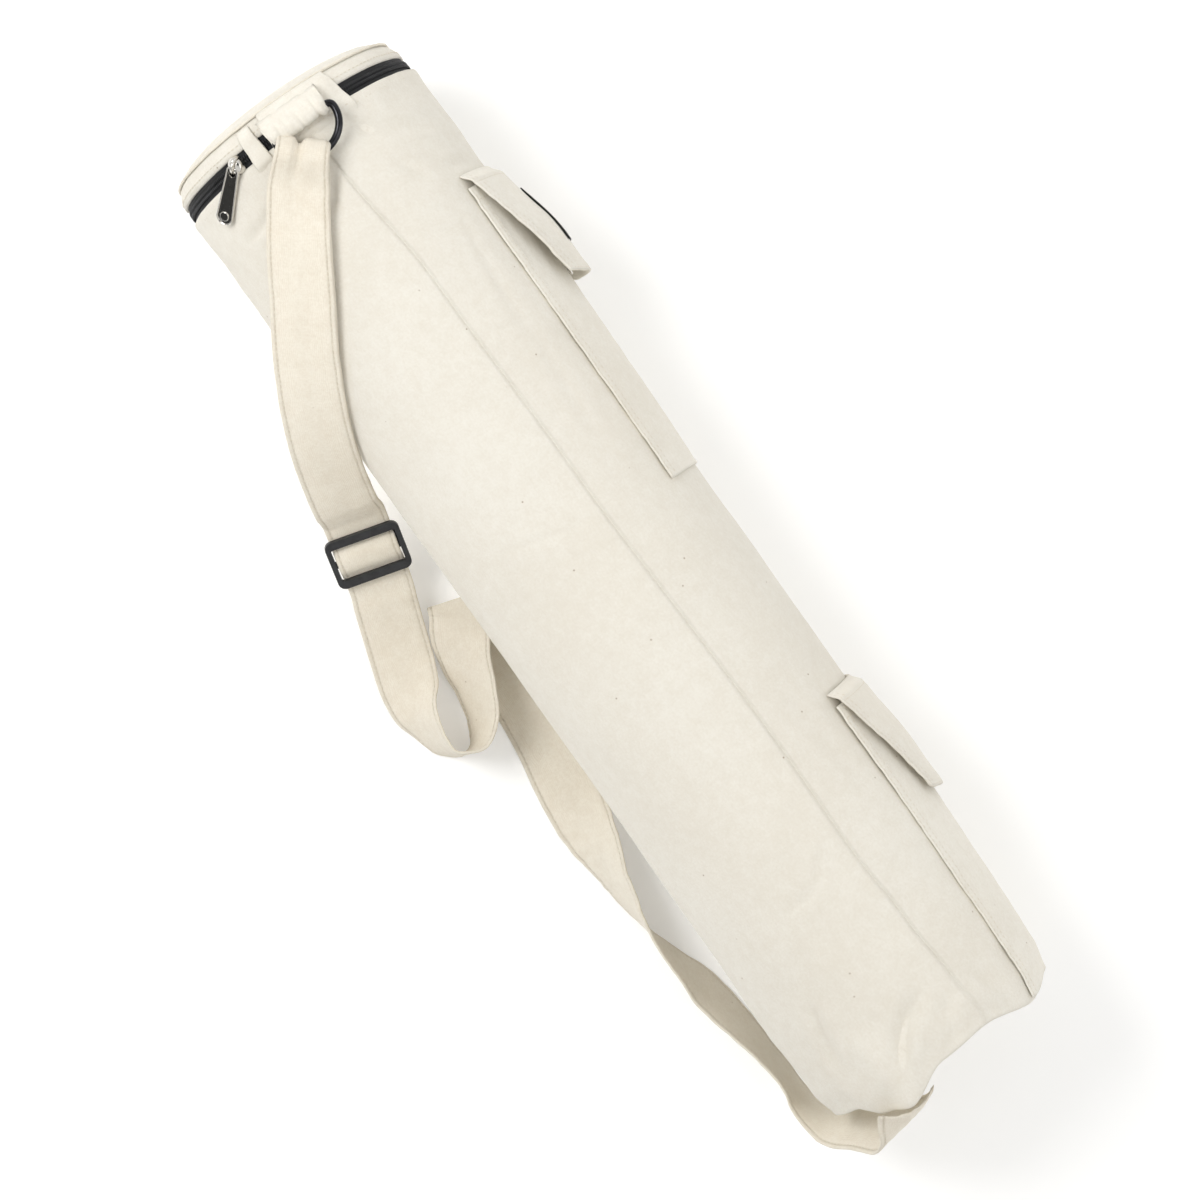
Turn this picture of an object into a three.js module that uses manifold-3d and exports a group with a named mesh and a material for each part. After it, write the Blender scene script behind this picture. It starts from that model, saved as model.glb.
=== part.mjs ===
// A cotton canvas yoga mat bag, lying on its back: a long round tube with a zipped lid at one end,
// a sewn bottom at the other, two flapped pockets on one side and a shoulder strap on the other.
import * as THREE from 'three';
import { mergeVertices } from 'three/addons/utils/BufferGeometryUtils.js';
import Module from 'manifold-3d';

const wasm = await Module();
wasm.setup();

// Driving dimensions, in millimetres and degrees. The bag lies along X with its lid at -X, its
// pockets at +Y and its underside on the plane z = 0. Angles round the bag are read from the top
// line, and grow towards the pockets.
const bagLength = 692;
const bagRadius = 82;
const pressedFlat = 5.5;
const clothWall = 2;
const seamGap = 0.35;

const lidBandWidth = 13;
const lidDome = 8;
const bottomDome = 5;
const bottomInset = 7;

const zipOpening = 10;
const zipTapeLap = 3;
const zipTapeThick = 1;
const zipChainWidth = 5;
const zipChainHeight = 1.8;
const zipPatchWidth = 10;
const zipPatchLap = 7;
const zipPatchAround = -17.5;

const sliderAround = -28;
const sliderLength = 11;
const sliderWidth = 9;
const sliderPlate = 1.8;
const bailThick = 1.8;
const bailSpan = 11;
const bailHeight = 6.4;
const pullLength = 38;
const pullThick = 1.8;
const pullEyeWidth = 7.2;
const pullEndWidth = 11;
const pullHeading = 57;
const pullDroop = 11;

const tabWidth = 33;
const tabAside = 7;
const tabCloth = 2;
const ringWire = 4.6;
const ringInside = 36;
const ringDepth = 22;
const ringCorner = 3.5;

const strapWidth = 40;
const strapThick = 2;
const buckleLength = 48;
const buckleWidth = 34;
const buckleThick = 3;
const buckleLongBar = 5.5;
const buckleEndBar = 3.2;
const buckleCentreBar = 4;
const buckleCorner = 5;
const buckleRow = 9;
const ringTaper = 1;
const strapHang = -38;
const strapEndAround = -16;
const lastResting = 6;
const strapFine = 6;
const strapCoarse = 3;

const pocketAround = 90;
const pocketSpan = 80;
const pocketCloth = 1.6;
const pocketSlack = 2.5;
const upperPocketTop = -240;
const upperPocketLength = 210;
const lowerPocketTop = 137;
const flapLength = 86;
const flapTipSpan = 44;
const flapHingeLap = 9;
const upperFlapLift = 9;
const lowerFlapLift = 3;
const labelLength = 42;
const labelWidth = 22;
const labelThick = 0.8;
const snapDiameter = 12;
const snapHeight = 1.6;

const axisHeight = bagRadius - pressedFlat;
const lidEnd = -bagLength / 2;
const bottomEnd = bagLength / 2;
const lidBandEdge = lidEnd + lidBandWidth;
const mouthEdge = lidBandEdge + zipOpening;
const zipCentre = lidBandEdge + zipOpening / 2;

// How the stuffed tube swells along its length. The widths are shares of the radius.
const swelling = [
  { at: 0.00, wide: 0.985, tall: 0.975, lean: -0.02 },
  { at: 0.04, wide: 1.000, tall: 0.990, lean: -0.01 },
  { at: 0.10, wide: 0.995, tall: 1.000, lean: 0.00 },
  { at: 0.30, wide: 1.000, tall: 1.005, lean: 0.00 },
  { at: 0.50, wide: 0.992, tall: 1.000, lean: 0.00 },
  { at: 0.65, wide: 0.990, tall: 0.995, lean: 0.00 },
  { at: 0.78, wide: 1.005, tall: 1.005, lean: 0.00 },
  { at: 0.90, wide: 1.000, tall: 1.000, lean: -0.01 },
  { at: 0.97, wide: 0.985, tall: 0.985, lean: -0.01 },
  { at: 1.00, wide: 0.945, tall: 0.955, lean: -0.01 },
];

// Creases and soft dents of the canvas. Lengths are shares of the bag's length, widths and depths
// are shares of its radius, and a turn of 0 runs along the bag.
const folds = [
  { name: 'zip crease', at: 0.078, around: -32, length: 0.035, width: 0.10, turn: 80, depth: -0.022 },
  { name: 'mouth fold', at: 0.068, around: 38, length: 0.045, width: 0.09, turn: 66, depth: -0.024 },
  { name: 'shoulder fold', at: 0.110, around: 34, length: 0.030, width: 0.09, turn: 37, depth: -0.016 },
  { name: 'packing fold', at: 0.330, around: 31, length: 0.240, width: 0.12, turn: 0, depth: -0.012 },
  { name: 'crescent top', at: 0.806, around: 0, length: 0.026, width: 0.10, turn: -38, depth: -0.024 },
  { name: 'crescent foot', at: 0.823, around: -15, length: 0.022, width: 0.09, turn: 86, depth: -0.018 },
  { name: 'left bottom fold', at: 0.920, around: -42, length: 0.045, width: 0.11, turn: -20, depth: -0.032 },
  { name: 'right bottom fold', at: 0.955, around: -12, length: 0.045, width: 0.12, turn: -35, depth: -0.036 },
  { name: 'bottom swell', at: 0.930, around: -25, length: 0.040, width: 0.20, turn: 0, depth: 0.018 },
  { name: 'side sag', at: 0.600, around: -70, length: 0.120, width: 0.25, turn: 0, depth: -0.012 },
];

// The bottom seam wanders where the strap pulls it out. The pull is a share of the radius.
const bottomRim = [
  { around: -180, pull: 0.00 },
  { around: -90, pull: -0.02 },
  { around: -56, pull: -0.07 },
  { around: -32, pull: 0.09 },
  { around: -2, pull: -0.05 },
  { around: 12, pull: -0.02 },
  { around: 45, pull: 0.03 },
  { around: 72, pull: -0.02 },
  { around: 120, pull: 0.00 },
  { around: 180, pull: 0.00 },
];

// The shoulder strap from the ring to the bottom seam. Along is a share of the bag's length,
// aside and above are shares of its radius, and above is the height of the strap's lower edge.
// Across is the direction of the strap's width, as a compass angle from +X, lean its slope.
const strapRun = [
  { along: -0.452, aside: -0.070, above: 2.000, across: 55, lean: -2, spread: 0.5 },
  { along: -0.424, aside: -0.222, above: 1.960, across: 55, lean: 5, spread: 0.72 },
  { along: -0.384, aside: -0.465, above: 1.830, across: 55, lean: 11, spread: 0.92 },
  { along: -0.349, aside: -0.655, above: 1.735, across: 57, lean: 13, spread: 1 },
  { along: -0.314, aside: -0.850, above: 1.640, across: 59, lean: 12, spread: 1 },
  { along: -0.277, aside: -1.030, above: 1.490, across: 63, lean: 10, spread: 1 },
  { along: -0.239, aside: -1.180, above: 1.220, across: 69, lean: 8, spread: 1 },
  { along: -0.196, aside: -1.298, above: 0.820, across: 73, lean: 5, spread: 1 },
  { along: -0.172, aside: -1.335, above: 0.590, across: 74, lean: 2, spread: 1 },
  { along: -0.149, aside: -1.385, above: 0.450, across: 73, lean: 0, spread: 1 },
  { along: -0.120, aside: -1.455, above: 0.340, across: 71, lean: 0, spread: 1 },
  { along: -0.088, aside: -1.555, above: 0.220, across: 70, lean: 0, spread: 1 },
  { along: -0.053, aside: -1.660, above: 0.110, across: 70, lean: 6, spread: 1 },
  { along: -0.026, aside: -1.735, above: 0.050, across: 74, lean: 22, spread: 1 },
  { along: 0.002, aside: -1.790, above: 0.012, across: 86, lean: 55, spread: 1 },
  { along: 0.029, aside: -1.780, above: 0.010, across: 112, lean: 70, spread: 1 },
  { along: 0.047, aside: -1.700, above: 0.010, across: 150, lean: 86, spread: 1 },
  { along: 0.048, aside: -1.555, above: 0.012, across: 60, lean: 70, spread: 1 },
  { along: 0.032, aside: -1.415, above: 0.020, across: 68, lean: 58, spread: 1 },
  { along: 0.006, aside: -1.325, above: 0.040, across: 74, lean: 48, spread: 1 },
  { along: -0.021, aside: -1.260, above: 0.090, across: 76, lean: 34, spread: 1 },
  { along: -0.044, aside: -1.170, above: 0.170, across: 74, lean: 12, spread: 1 },
  { along: -0.058, aside: -1.085, above: 0.185, across: 72, lean: 0, spread: 1 },
  { along: -0.069, aside: -1.050, above: 0.105, across: 72, lean: 0, spread: 1 },
  { along: -0.059, aside: -1.070, above: 0.020, across: 72, lean: 0, spread: 1 },
  { along: -0.030, aside: -1.095, above: 0.004, across: 76, lean: 0, spread: 1 },
  { along: 0.038, aside: -1.090, above: 0.004, across: 86, lean: 0, spread: 1 },
  { along: 0.077, aside: -1.120, above: 0.004, across: 80, lean: 0, spread: 1 },
  { along: 0.122, aside: -1.190, above: 0.004, across: 82, lean: 4, spread: 1 },
  { along: 0.154, aside: -1.230, above: 0.004, across: 86, lean: 16, spread: 1 },
  { along: 0.186, aside: -1.260, above: 0.004, across: 90, lean: 40, spread: 1 },
  { along: 0.214, aside: -1.285, above: 0.004, across: 92, lean: 60, spread: 1 },
  { along: 0.246, aside: -1.315, above: 0.004, across: 95, lean: 74, spread: 1 },
  { along: 0.282, aside: -1.310, above: 0.004, across: -60, lean: 88, spread: 1 },
  { along: 0.317, aside: -1.265, above: 0.004, across: -84, lean: 74, spread: 1 },
  { along: 0.352, aside: -1.215, above: 0.004, across: -86, lean: 60, spread: 1 },
  { along: 0.387, aside: -1.170, above: 0.020, across: -86, lean: 64, spread: 1 },
  { along: 0.420, aside: -1.130, above: 0.060, across: -86, lean: 72, spread: 1 },
  { along: 0.445, aside: -1.105, above: 0.100, across: -84, lean: 74, spread: 1 },
  { along: 0.478, aside: -1.090, above: 0.180, across: -70, lean: 72, spread: 1 },
  { along: 0.504, aside: -0.985, above: 0.400, across: -50, lean: 66, spread: 1 },
  { along: 0.518, aside: -0.780, above: 0.830, across: -64, lean: 50, spread: 1 },
  { along: 0.524, aside: -0.540, above: 1.280, across: -76, lean: 32, spread: 1 },
  { along: 0.524, aside: -0.350, above: 1.600, across: -86, lean: 4, spread: 1 },
  { along: 0.511, aside: -0.280, above: 1.800, across: -76, lean: -12, spread: 1 },
];

const degrees = THREE.MathUtils.degToRad;
const clamp = THREE.MathUtils.clamp;

// The value of one column of a table, eased from row to row.
function fromTable(table, key, value, column) {
  const last = table.length - 1;
  if (value <= table[0][key]) return table[0][column];
  if (value >= table[last][key]) return table[last][column];
  const next = table.findIndex((row) => row[key] > value);
  const low = table[next - 1];
  const high = table[next];
  const share = THREE.MathUtils.smoothstep(value, low[key], high[key]);
  return THREE.MathUtils.lerp(low[column], high[column], share);
}

// The wandering of the canvas in or out at one place, in millimetres. It dies out towards the
// underside, where the bag is pressed flat.
function foldDepth(share, around) {
  let depth = 0;
  for (const fold of folds) {
    const along = (share - fold.at) * bagLength;
    const across = degrees(around - fold.around) * bagRadius;
    const turn = degrees(fold.turn);
    const lengthwise = along * Math.cos(turn) + across * Math.sin(turn);
    const crosswise = across * Math.cos(turn) - along * Math.sin(turn);
    const reach = lengthwise / (fold.length * bagLength);
    const spread = crosswise / (fold.width * bagRadius);
    depth += fold.depth * bagRadius * Math.exp(-reach * reach - spread * spread);
  }
  return depth * (1 - THREE.MathUtils.smoothstep(Math.abs(around), 85, 125));
}

// A point of the bag's skin, lifted off it by a distance or sunk into it.
function bagPoint(x, around, lift = 0) {
  const share = clamp(x / bagLength + 0.5, 0, 1);
  const pulled = fromTable(bottomRim, 'around', around, 'pull') * bagRadius;
  const fold = foldDepth(share, around);
  const wide = bagRadius * fromTable(swelling, 'at', share, 'wide') + fold + lift;
  const tall = bagRadius * fromTable(swelling, 'at', share, 'tall') + fold + lift;
  const lean = bagRadius * fromTable(swelling, 'at', share, 'lean');
  const angle = degrees(around);
  return new THREE.Vector3(
    x + pulled * THREE.MathUtils.smoothstep(share, 0.93, 1),
    lean + wide * Math.sin(angle),
    Math.max(axisHeight + tall * Math.cos(angle), -lift, 0),
  );
}

// The directions at a place on the skin: round the bag, towards the lid and straight out.
function bagFrame(x, around, lift = 0) {
  const angle = degrees(around);
  const round = new THREE.Vector3(0, Math.cos(angle), -Math.sin(angle));
  const out = new THREE.Vector3(0, Math.sin(angle), Math.cos(angle));
  const toLid = new THREE.Vector3(-1, 0, 0);
  const frame = new THREE.Matrix4().makeBasis(round, toLid, out);
  return frame.setPosition(bagPoint(x, around, lift));
}

// A closed skin over rows of points, joined end to end as a loop or shut by a cap at each end.
// The two faces of a twisted strip are split along the same diagonal, so that they stay apart.
// A fan cap spreads from the first point, a strip cap laces the two halves of a flat row.
function skin(rows, ending) {
  const size = rows[0].length;
  const faces = [];
  const index = (row, point) => (row % rows.length) * size + (point % size);
  const spans = ending === 'loop' ? rows.length : rows.length - 1;
  for (let row = 0; row < spans; row += 1) {
    for (let point = 0; point < size; point += 1) {
      const here = index(row, point);
      const beside = index(row, point + 1);
      const above = index(row + 1, point);
      const corner = index(row + 1, point + 1);
      const halves = point < size / 2
        ? [here, beside, corner, here, corner, above]
        : [here, beside, above, beside, corner, above];
      faces.push(...halves);
    }
  }
  const cap = (row, turned) => {
    const fan = (step) => [[0, step + 1, step]];
    const lace = (step) => [
      [step - 1, size - step, size - step - 1],
      [step - 1, size - step - 1, step],
    ];
    const last = ending === 'strip' ? size / 2 - 1 : size - 2;
    for (let step = 1; step <= last; step += 1) {
      for (const corners of ending === 'strip' ? lace(step) : fan(step)) {
        const ordered = turned ? corners.toReversed() : corners;
        faces.push(...ordered.map((point) => index(row, point)));
      }
    }
  };
  if (ending !== 'loop') {
    cap(0, false);
    cap(rows.length - 1, true);
  }
  const geometry = new THREE.BufferGeometry();
  geometry.setFromPoints(rows.flat());
  geometry.setIndex(faces);
  return facingOut(geometry);
}

// Turns a closed skin right side out by the sign of its volume.
function facingOut(geometry) {
  const place = geometry.getAttribute('position');
  const order = geometry.getIndex().array;
  const corner = [new THREE.Vector3(), new THREE.Vector3(), new THREE.Vector3()];
  let volume = 0;
  for (let face = 0; face < order.length; face += 3) {
    corner.forEach((point, step) => point.fromBufferAttribute(place, order[face + step]));
    volume += corner[0].dot(corner[1].clone().cross(corner[2]));
  }
  if (volume < 0) {
    for (let face = 0; face < order.length; face += 3) {
      [order[face], order[face + 1]] = [order[face + 1], order[face]];
    }
  }
  geometry.computeVertexNormals();
  return geometry;
}

// Steps of a range, both ends included.
function steps(start, end, count) {
  return Array.from({ length: count + 1 }, (_, step) => start + ((end - start) * step) / count);
}

const roundSteps = 36;
const fullTurn = Array.from({ length: roundSteps }, (_, step) => -180 + (360 * step) / roundSteps);

// A band of cloth or tape round the bag, from one length to another and between two lifts.
function roundBand(start, end, count, outer, inner) {
  const stations = steps(start, end, count);
  const rows = fullTurn.map((around) => [
    ...stations.map((x) => bagPoint(x, around, outer)),
    ...stations.toReversed().map((x) => bagPoint(x, around, inner)),
  ]);
  return skin(rows, 'loop');
}

// A round disc that closes an end of the bag: rings shrink from the edge to a small centre,
// domed by a rise, first on one face and then back on the other.
function endDisc(edgeX, edgeLift, rise, thick) {
  const shares = [1, 0.93, 0.6, 0.03];
  const ring = (share, push) => fullTurn.map((around) => {
    const edge = bagPoint(edgeX, around, edgeLift);
    const middle = new THREE.Vector3(edgeX, 0, axisHeight);
    const point = middle.lerp(edge, share);
    point.x = edge.x + (edgeX - edge.x) * (1 - share) + rise * (1 - share * share) + push;
    return point;
  });
  const near = shares.map((share) => ring(share, 0));
  const far = shares.map((share) => ring(share, thick));
  return skin([...near.toReversed(), ...far], 'fan');
}

// A sewn panel that follows the bag. At each place, a function gives the height of its inner
// face over the skin. Half its span at the start and at the end may differ.
function bagPanel({ start, end, around, startSpan, endSpan, thick, rise, alongCount, roundCount }) {
  const rows = steps(0, 1, alongCount).map((along) => {
    const span = THREE.MathUtils.lerp(startSpan, endSpan, along);
    const x = THREE.MathUtils.lerp(start, end, along);
    const places = steps(-0.5, 0.5, roundCount);
    const at = (across, extra) => bagPoint(x, around + across * span, rise(along, across) + extra);
    return [
      ...places.map((across) => at(across, thick)),
      ...places.toReversed().map((across) => at(across, 0)),
    ];
  });
  return skin(rows, 'strip');
}

// A three.js geometry as a solid that can be joined and cut, and back again.
function toSolid(geometry) {
  const bare = geometry.clone();
  bare.deleteAttribute('normal');
  bare.deleteAttribute('uv');
  const merged = mergeVertices(bare, 1e-4);
  return new wasm.Manifold(new wasm.Mesh({
    numProp: 3,
    vertProperties: new Float32Array(merged.getAttribute('position').array),
    triVerts: new Uint32Array(merged.getIndex().array),
  }));
}

function fromSolid(solid) {
  const mesh = solid.getMesh();
  const geometry = new THREE.BufferGeometry();
  geometry.setAttribute('position', new THREE.BufferAttribute(mesh.vertProperties, 3));
  geometry.setIndex(new THREE.BufferAttribute(mesh.triVerts, 1));
  geometry.computeVertexNormals();
  return geometry;
}

function colour(hex, roughness, metalness = 0) {
  return new THREE.MeshStandardMaterial({ color: hex, roughness, metalness });
}

const canvas = colour(0xf1eada, 0.95);
const strapCanvas = colour(0xeee5d2, 0.95);
const blackTape = colour(0x26262a, 0.85);
const blackNylon = colour(0x1c1c1e, 0.55);
const nickel = colour(0xb9b7b2, 0.25, 1);
const gunmetal = colour(0x2a2a2c, 0.25, 1);
const blackPlastic = colour(0x222324, 0.5);

const bag = new THREE.Group();

function add(name, geometry, material, matrix) {
  const mesh = new THREE.Mesh(geometry, material);
  mesh.name = name;
  if (matrix) {
    matrix.decompose(mesh.position, mesh.quaternion, mesh.scale);
  }
  bag.add(mesh);
  return mesh;
}

// Tube and bottom
const tubeSteps = 27;
add('body_tube', roundBand(mouthEdge, bottomEnd, tubeSteps, 0, -clothWall), canvas);
const bottomLift = -clothWall - 3 * seamGap;
const bottomX = bottomEnd - bottomInset - clothWall;
add('bottom_panel', endDisc(bottomX, bottomLift, bottomDome, clothWall), canvas);

// Lid
add('lid_band', roundBand(lidEnd, lidBandEdge, 2, 0, -clothWall), canvas);
add('lid_top', endDisc(lidEnd - seamGap, -clothWall / 4, -lidDome, -clothWall), canvas);

// Zip
const tapeOut = -clothWall - seamGap;
const tapeStart = lidBandEdge - zipTapeLap;
const tapeEnd = mouthEdge + zipTapeLap;
add('zip_tape', roundBand(tapeStart, tapeEnd, 2, tapeOut, tapeOut - zipTapeThick), blackTape);
const chainLow = tapeOut + seamGap;
const chainHigh = chainLow + zipChainHeight;
const chainStart = zipCentre - zipChainWidth / 2;
const chainEnd = zipCentre + zipChainWidth / 2;
add('zip_chain', roundBand(chainStart, chainEnd, 1, chainHigh, chainLow), blackNylon);
add('zip_end_patch', bagPanel({
  start: lidBandEdge - zipPatchLap,
  end: mouthEdge + zipPatchLap,
  around: zipPatchAround,
  startSpan: zipPatchWidth / degrees(1) / bagRadius,
  endSpan: zipPatchWidth / degrees(1) / bagRadius,
  thick: clothWall / 2,
  rise: () => seamGap * 1.5,
  alongCount: 6,
  roundCount: 2,
}), canvas);

// Zip slider: a rounded plate with a channel over the chain and an arched bail
const pullTurn = degrees(pullHeading);
const plateShape = new THREE.Shape();
plateShape.absellipse(0, 0, sliderLength / 2, sliderWidth / 2, 0, Math.PI * 2);
const plateBevel = 0.5;
const sliderBase = chainLow + seamGap / 2;
const sliderDepth = sliderPlate - sliderBase;
const plateGeometry = new THREE.ExtrudeGeometry(plateShape, {
  depth: sliderDepth - plateBevel,
  bevelEnabled: true,
  bevelThickness: plateBevel / 2,
  bevelSize: plateBevel,
  bevelOffset: -plateBevel,
  bevelSegments: 1,
  curveSegments: 10,
});
plateGeometry.translate(0, 0, sliderBase + plateBevel / 2);
const channelHeight = chainHigh + seamGap * 1.6 - sliderBase;
const channel = new THREE.BoxGeometry(sliderLength * 2, zipChainWidth + 3 * seamGap, channelHeight * 2);
channel.translate(0, 0, sliderBase);
const bailShape = new THREE.Shape();
bailShape.absellipse(0, 0, bailSpan / 2, bailHeight, 0, Math.PI);
bailShape.lineTo(-bailSpan / 2, -sliderPlate / 2);
bailShape.lineTo(bailSpan / 2, -sliderPlate / 2);
const bailHole = new THREE.Path();
bailHole.absellipse(0, 0.05, bailSpan / 2 - bailThick, bailHeight - bailThick, 0, Math.PI);
bailShape.holes.push(bailHole);
const bailGeometry = new THREE.ExtrudeGeometry(bailShape, {
  depth: bailThick,
  bevelEnabled: false,
  curveSegments: 8,
});
bailGeometry.translate(0, 0, -bailThick / 2);
bailGeometry.rotateX(Math.PI / 2);
bailGeometry.rotateZ(Math.PI / 2 - pullTurn);
bailGeometry.translate(0, 0, sliderPlate - 0.05);
const sliderSolid = toSolid(plateGeometry).subtract(toSolid(channel)).add(toSolid(bailGeometry));
const sliderFrame = bagFrame(zipCentre, sliderAround);
add('zip_slider', fromSolid(sliderSolid), nickel, sliderFrame);

// Zip pull: a flat tab with an eye round the bail. It hinges on the bail and droops on the cloth.
const eyeBar = pullThick / 2;
const eyeReach = bailHeight + eyeBar;
const hingeForward = bailSpan / 2 - bailThick - eyeBar * 2.6;
const hingeRise = sliderPlate + eyeBar * 2.2;
const pullShape = new THREE.Shape();
const eyeHalf = pullEyeWidth / 2;
const endHalf = pullEndWidth / 2;
pullShape.moveTo(-eyeBar, -eyeHalf + eyeBar);
pullShape.lineTo(0, -eyeHalf);
pullShape.lineTo(eyeReach, -eyeHalf);
pullShape.lineTo(pullLength - endHalf, -endHalf);
pullShape.absarc(pullLength - endHalf, 0, endHalf, -Math.PI / 2, Math.PI / 2);
pullShape.lineTo(eyeReach, eyeHalf);
pullShape.lineTo(0, eyeHalf);
pullShape.lineTo(-eyeBar, eyeHalf - eyeBar);
const eyeHole = new THREE.Path();
const eyeSide = bailThick / 2 + 2 * seamGap;
eyeHole.moveTo(eyeBar, -eyeSide);
eyeHole.lineTo(eyeReach, -eyeSide);
eyeHole.lineTo(eyeReach, eyeSide);
eyeHole.lineTo(eyeBar, eyeSide);
pullShape.holes.push(eyeHole);
const pullGeometry = new THREE.ExtrudeGeometry(pullShape, {
  depth: pullThick,
  bevelEnabled: false,
  curveSegments: 8,
});
pullGeometry.translate(0, 0, -pullThick / 2);
const heading = new THREE.Vector3(-Math.sin(pullTurn), -Math.cos(pullTurn), 0);
const hinge = heading.clone().multiplyScalar(hingeForward).setZ(hingeRise);
const droop = degrees(pullDroop);
const pullAlong = heading.clone().multiplyScalar(Math.cos(droop)).setZ(-Math.sin(droop));
const pullUp = heading.clone().multiplyScalar(Math.sin(droop)).setZ(Math.cos(droop));
const pullAcross = pullUp.clone().cross(pullAlong);
const pullFrame = new THREE.Matrix4().makeBasis(pullAlong, pullAcross, pullUp);
pullFrame.setPosition(hinge).premultiply(sliderFrame);
add('zip_pull', fromSolid(toSolid(pullGeometry)), nickel, pullFrame);

// D ring and the cloth tab that holds its straight bar
const tabAround = THREE.MathUtils.radToDeg(Math.asin(tabAside / bagRadius));
const rollRadius = ringWire / 2 + seamGap + tabCloth;
const ringBarX = mouthEdge - tabCloth;
const ringFrame = bagFrame(ringBarX, tabAround, seamGap * 5 + rollRadius);
const ringHalf = (ringInside + ringWire) / 2;
const ringPath = new THREE.Path();
ringPath.moveTo(-ringHalf + ringCorner, 0);
ringPath.lineTo(ringHalf - ringCorner, 0);
ringPath.quadraticCurveTo(ringHalf, 0, ringHalf, -ringCorner);
ringPath.absellipse(0, -ringCorner, ringHalf, ringDepth - ringCorner, 0, -Math.PI, true);
ringPath.quadraticCurveTo(-ringHalf, 0, -ringHalf + ringCorner, 0);
const ringPoints = ringPath.getSpacedPoints(30).slice(0, -1);
const wireSides = 8;
const ringRows = ringPoints.map((point, step) => {
  const next = ringPoints[(step + 1) % ringPoints.length];
  const before = ringPoints.at(step - 1);
  const side = new THREE.Vector2(before.y - next.y, next.x - before.x).normalize();
  return steps(0, Math.PI * 2, wireSides).slice(1).map((turn) => {
    const out = (Math.cos(turn) * ringWire) / 2;
    const rise = (Math.sin(turn) * ringWire) / 2;
    return new THREE.Vector3(point.x + side.x * out, point.y + side.y * out, rise);
  });
});
add('d_ring', skin(ringRows, 'loop'), gunmetal, ringFrame);

const tailEnd = ringBarX - lidEnd - tabCloth;
const tailThick = tabCloth * 1.5;
const tabSection = [
  { forward: -tailEnd, rise: -rollRadius, sink: 1 },
  ...steps(-90, 110, 8).map((turn) => ({
    forward: rollRadius * Math.cos(degrees(turn)),
    rise: rollRadius * Math.sin(degrees(turn)),
    sink: (1 - Math.sin(degrees(turn))) / 2,
  })),
  { forward: -1.5 * rollRadius, rise: -rollRadius + tailThick * 1.3, sink: 1 },
  { forward: -tailEnd, rise: -rollRadius + tailThick, sink: 1 },
];
const tabRows = steps(-tabWidth / 2, tabWidth / 2, 8).map((across) => {
  const curve = (across * across) / (2 * bagRadius);
  return tabSection.map(({ forward, rise, sink }) => (
    new THREE.Vector3(across, -forward, rise - sink * curve)
  ));
});
const barRadius = ringWire / 2 + seamGap;
const barHole = new THREE.CylinderGeometry(barRadius, barRadius, tabWidth * 2, 12);
barHole.rotateZ(Math.PI / 2);
const tabSolid = toSolid(skin(tabRows, 'fan')).subtract(toSolid(barHole));
add('ring_tab', fromSolid(tabSolid), canvas, ringFrame);

// Shoulder strap: the chosen rows as places in the bag's space, with the direction of its width
const floorGap = 0.15;
const strapRows = strapRun.map(({ along, aside, above, across, lean, spread }) => {
  const slope = degrees(lean);
  const compass = degrees(across);
  const half = (strapWidth * spread) / 2;
  const rise = Math.abs(Math.sin(slope)) * half + (strapThick / 2) * Math.cos(slope) + floorGap;
  return {
    place: new THREE.Vector3(along * bagLength, aside * bagRadius, above * bagRadius + rise),
    width: new THREE.Vector3(
      Math.cos(compass) * Math.cos(slope),
      Math.sin(compass) * Math.cos(slope),
      Math.sin(slope),
    ),
    spread,
  };
});

// The height of the bag's upper side under a place, or of the floor beside the bag
function bagHeight(x, y) {
  const share = clamp(x / bagLength + 0.5, 0, 1);
  const wide = bagRadius * fromTable(swelling, 'at', share, 'wide');
  const lean = bagRadius * fromTable(swelling, 'at', share, 'lean');
  const sine = (y - lean) / wide;
  return Math.abs(sine) < 1 ? bagPoint(x, THREE.MathUtils.radToDeg(Math.asin(sine))).z : 0;
}

// Near the ring both layers of the strap rest on the bag, whichever part of their width touches
const twoLayers = strapThick * 2 + 8 * seamGap;
for (const { place, width, spread } of strapRows.slice(1, lastResting + 1)) {
  const heights = steps(-0.5, 0.5, 8).map((side) => {
    const point = place.clone().addScaledVector(width, side * strapWidth * spread);
    return bagHeight(point.x, point.y) - side * strapWidth * spread * width.z;
  });
  place.z = Math.max(...heights) + twoLayers;
}

// The strap hangs on the ring's arc, so its first place lies on top of the wire there
const hangTurn = degrees(strapHang);
const wirePlace = new THREE.Vector3(
  ringHalf * Math.sin(hangTurn),
  -ringCorner - (ringDepth - ringCorner) * Math.cos(hangTurn),
  0,
).applyMatrix4(ringFrame);
const wireClear = ringWire / 2 + seamGap + strapThick / 2;
strapRows[0].place.copy(wirePlace).z += wireClear;

// Its other end is sewn to the bottom seam, edge to edge with the tube
const seamPlace = bagPoint(bottomEnd, strapEndAround, -clothWall / 2);
strapRows.at(-1).place.copy(seamPlace).x += seamGap * 9;

const strapCurve = new THREE.CatmullRomCurve3(strapRows.map((row) => row.place));
const widthCurve = new THREE.CatmullRomCurve3(strapRows.map((row) => row.width));
const lastRow = strapRows.length - 1;

// A section of the strap at a place between two rows: its centre, heading, width and top side.
function strapSection(row) {
  const share = row / lastRow;
  const centre = strapCurve.getPoint(share);
  const ahead = strapCurve.getTangent(share);
  const width = widthCurve.getPoint(share);
  width.addScaledVector(ahead, -ahead.dot(width)).normalize();
  const low = Math.min(Math.floor(row), lastRow - 1);
  const half = THREE.MathUtils.lerp(strapRows[low].spread, strapRows[low + 1].spread, row - low);
  return { centre, ahead, width, up: ahead.clone().cross(width), half: (half * strapWidth) / 2 };
}

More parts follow.
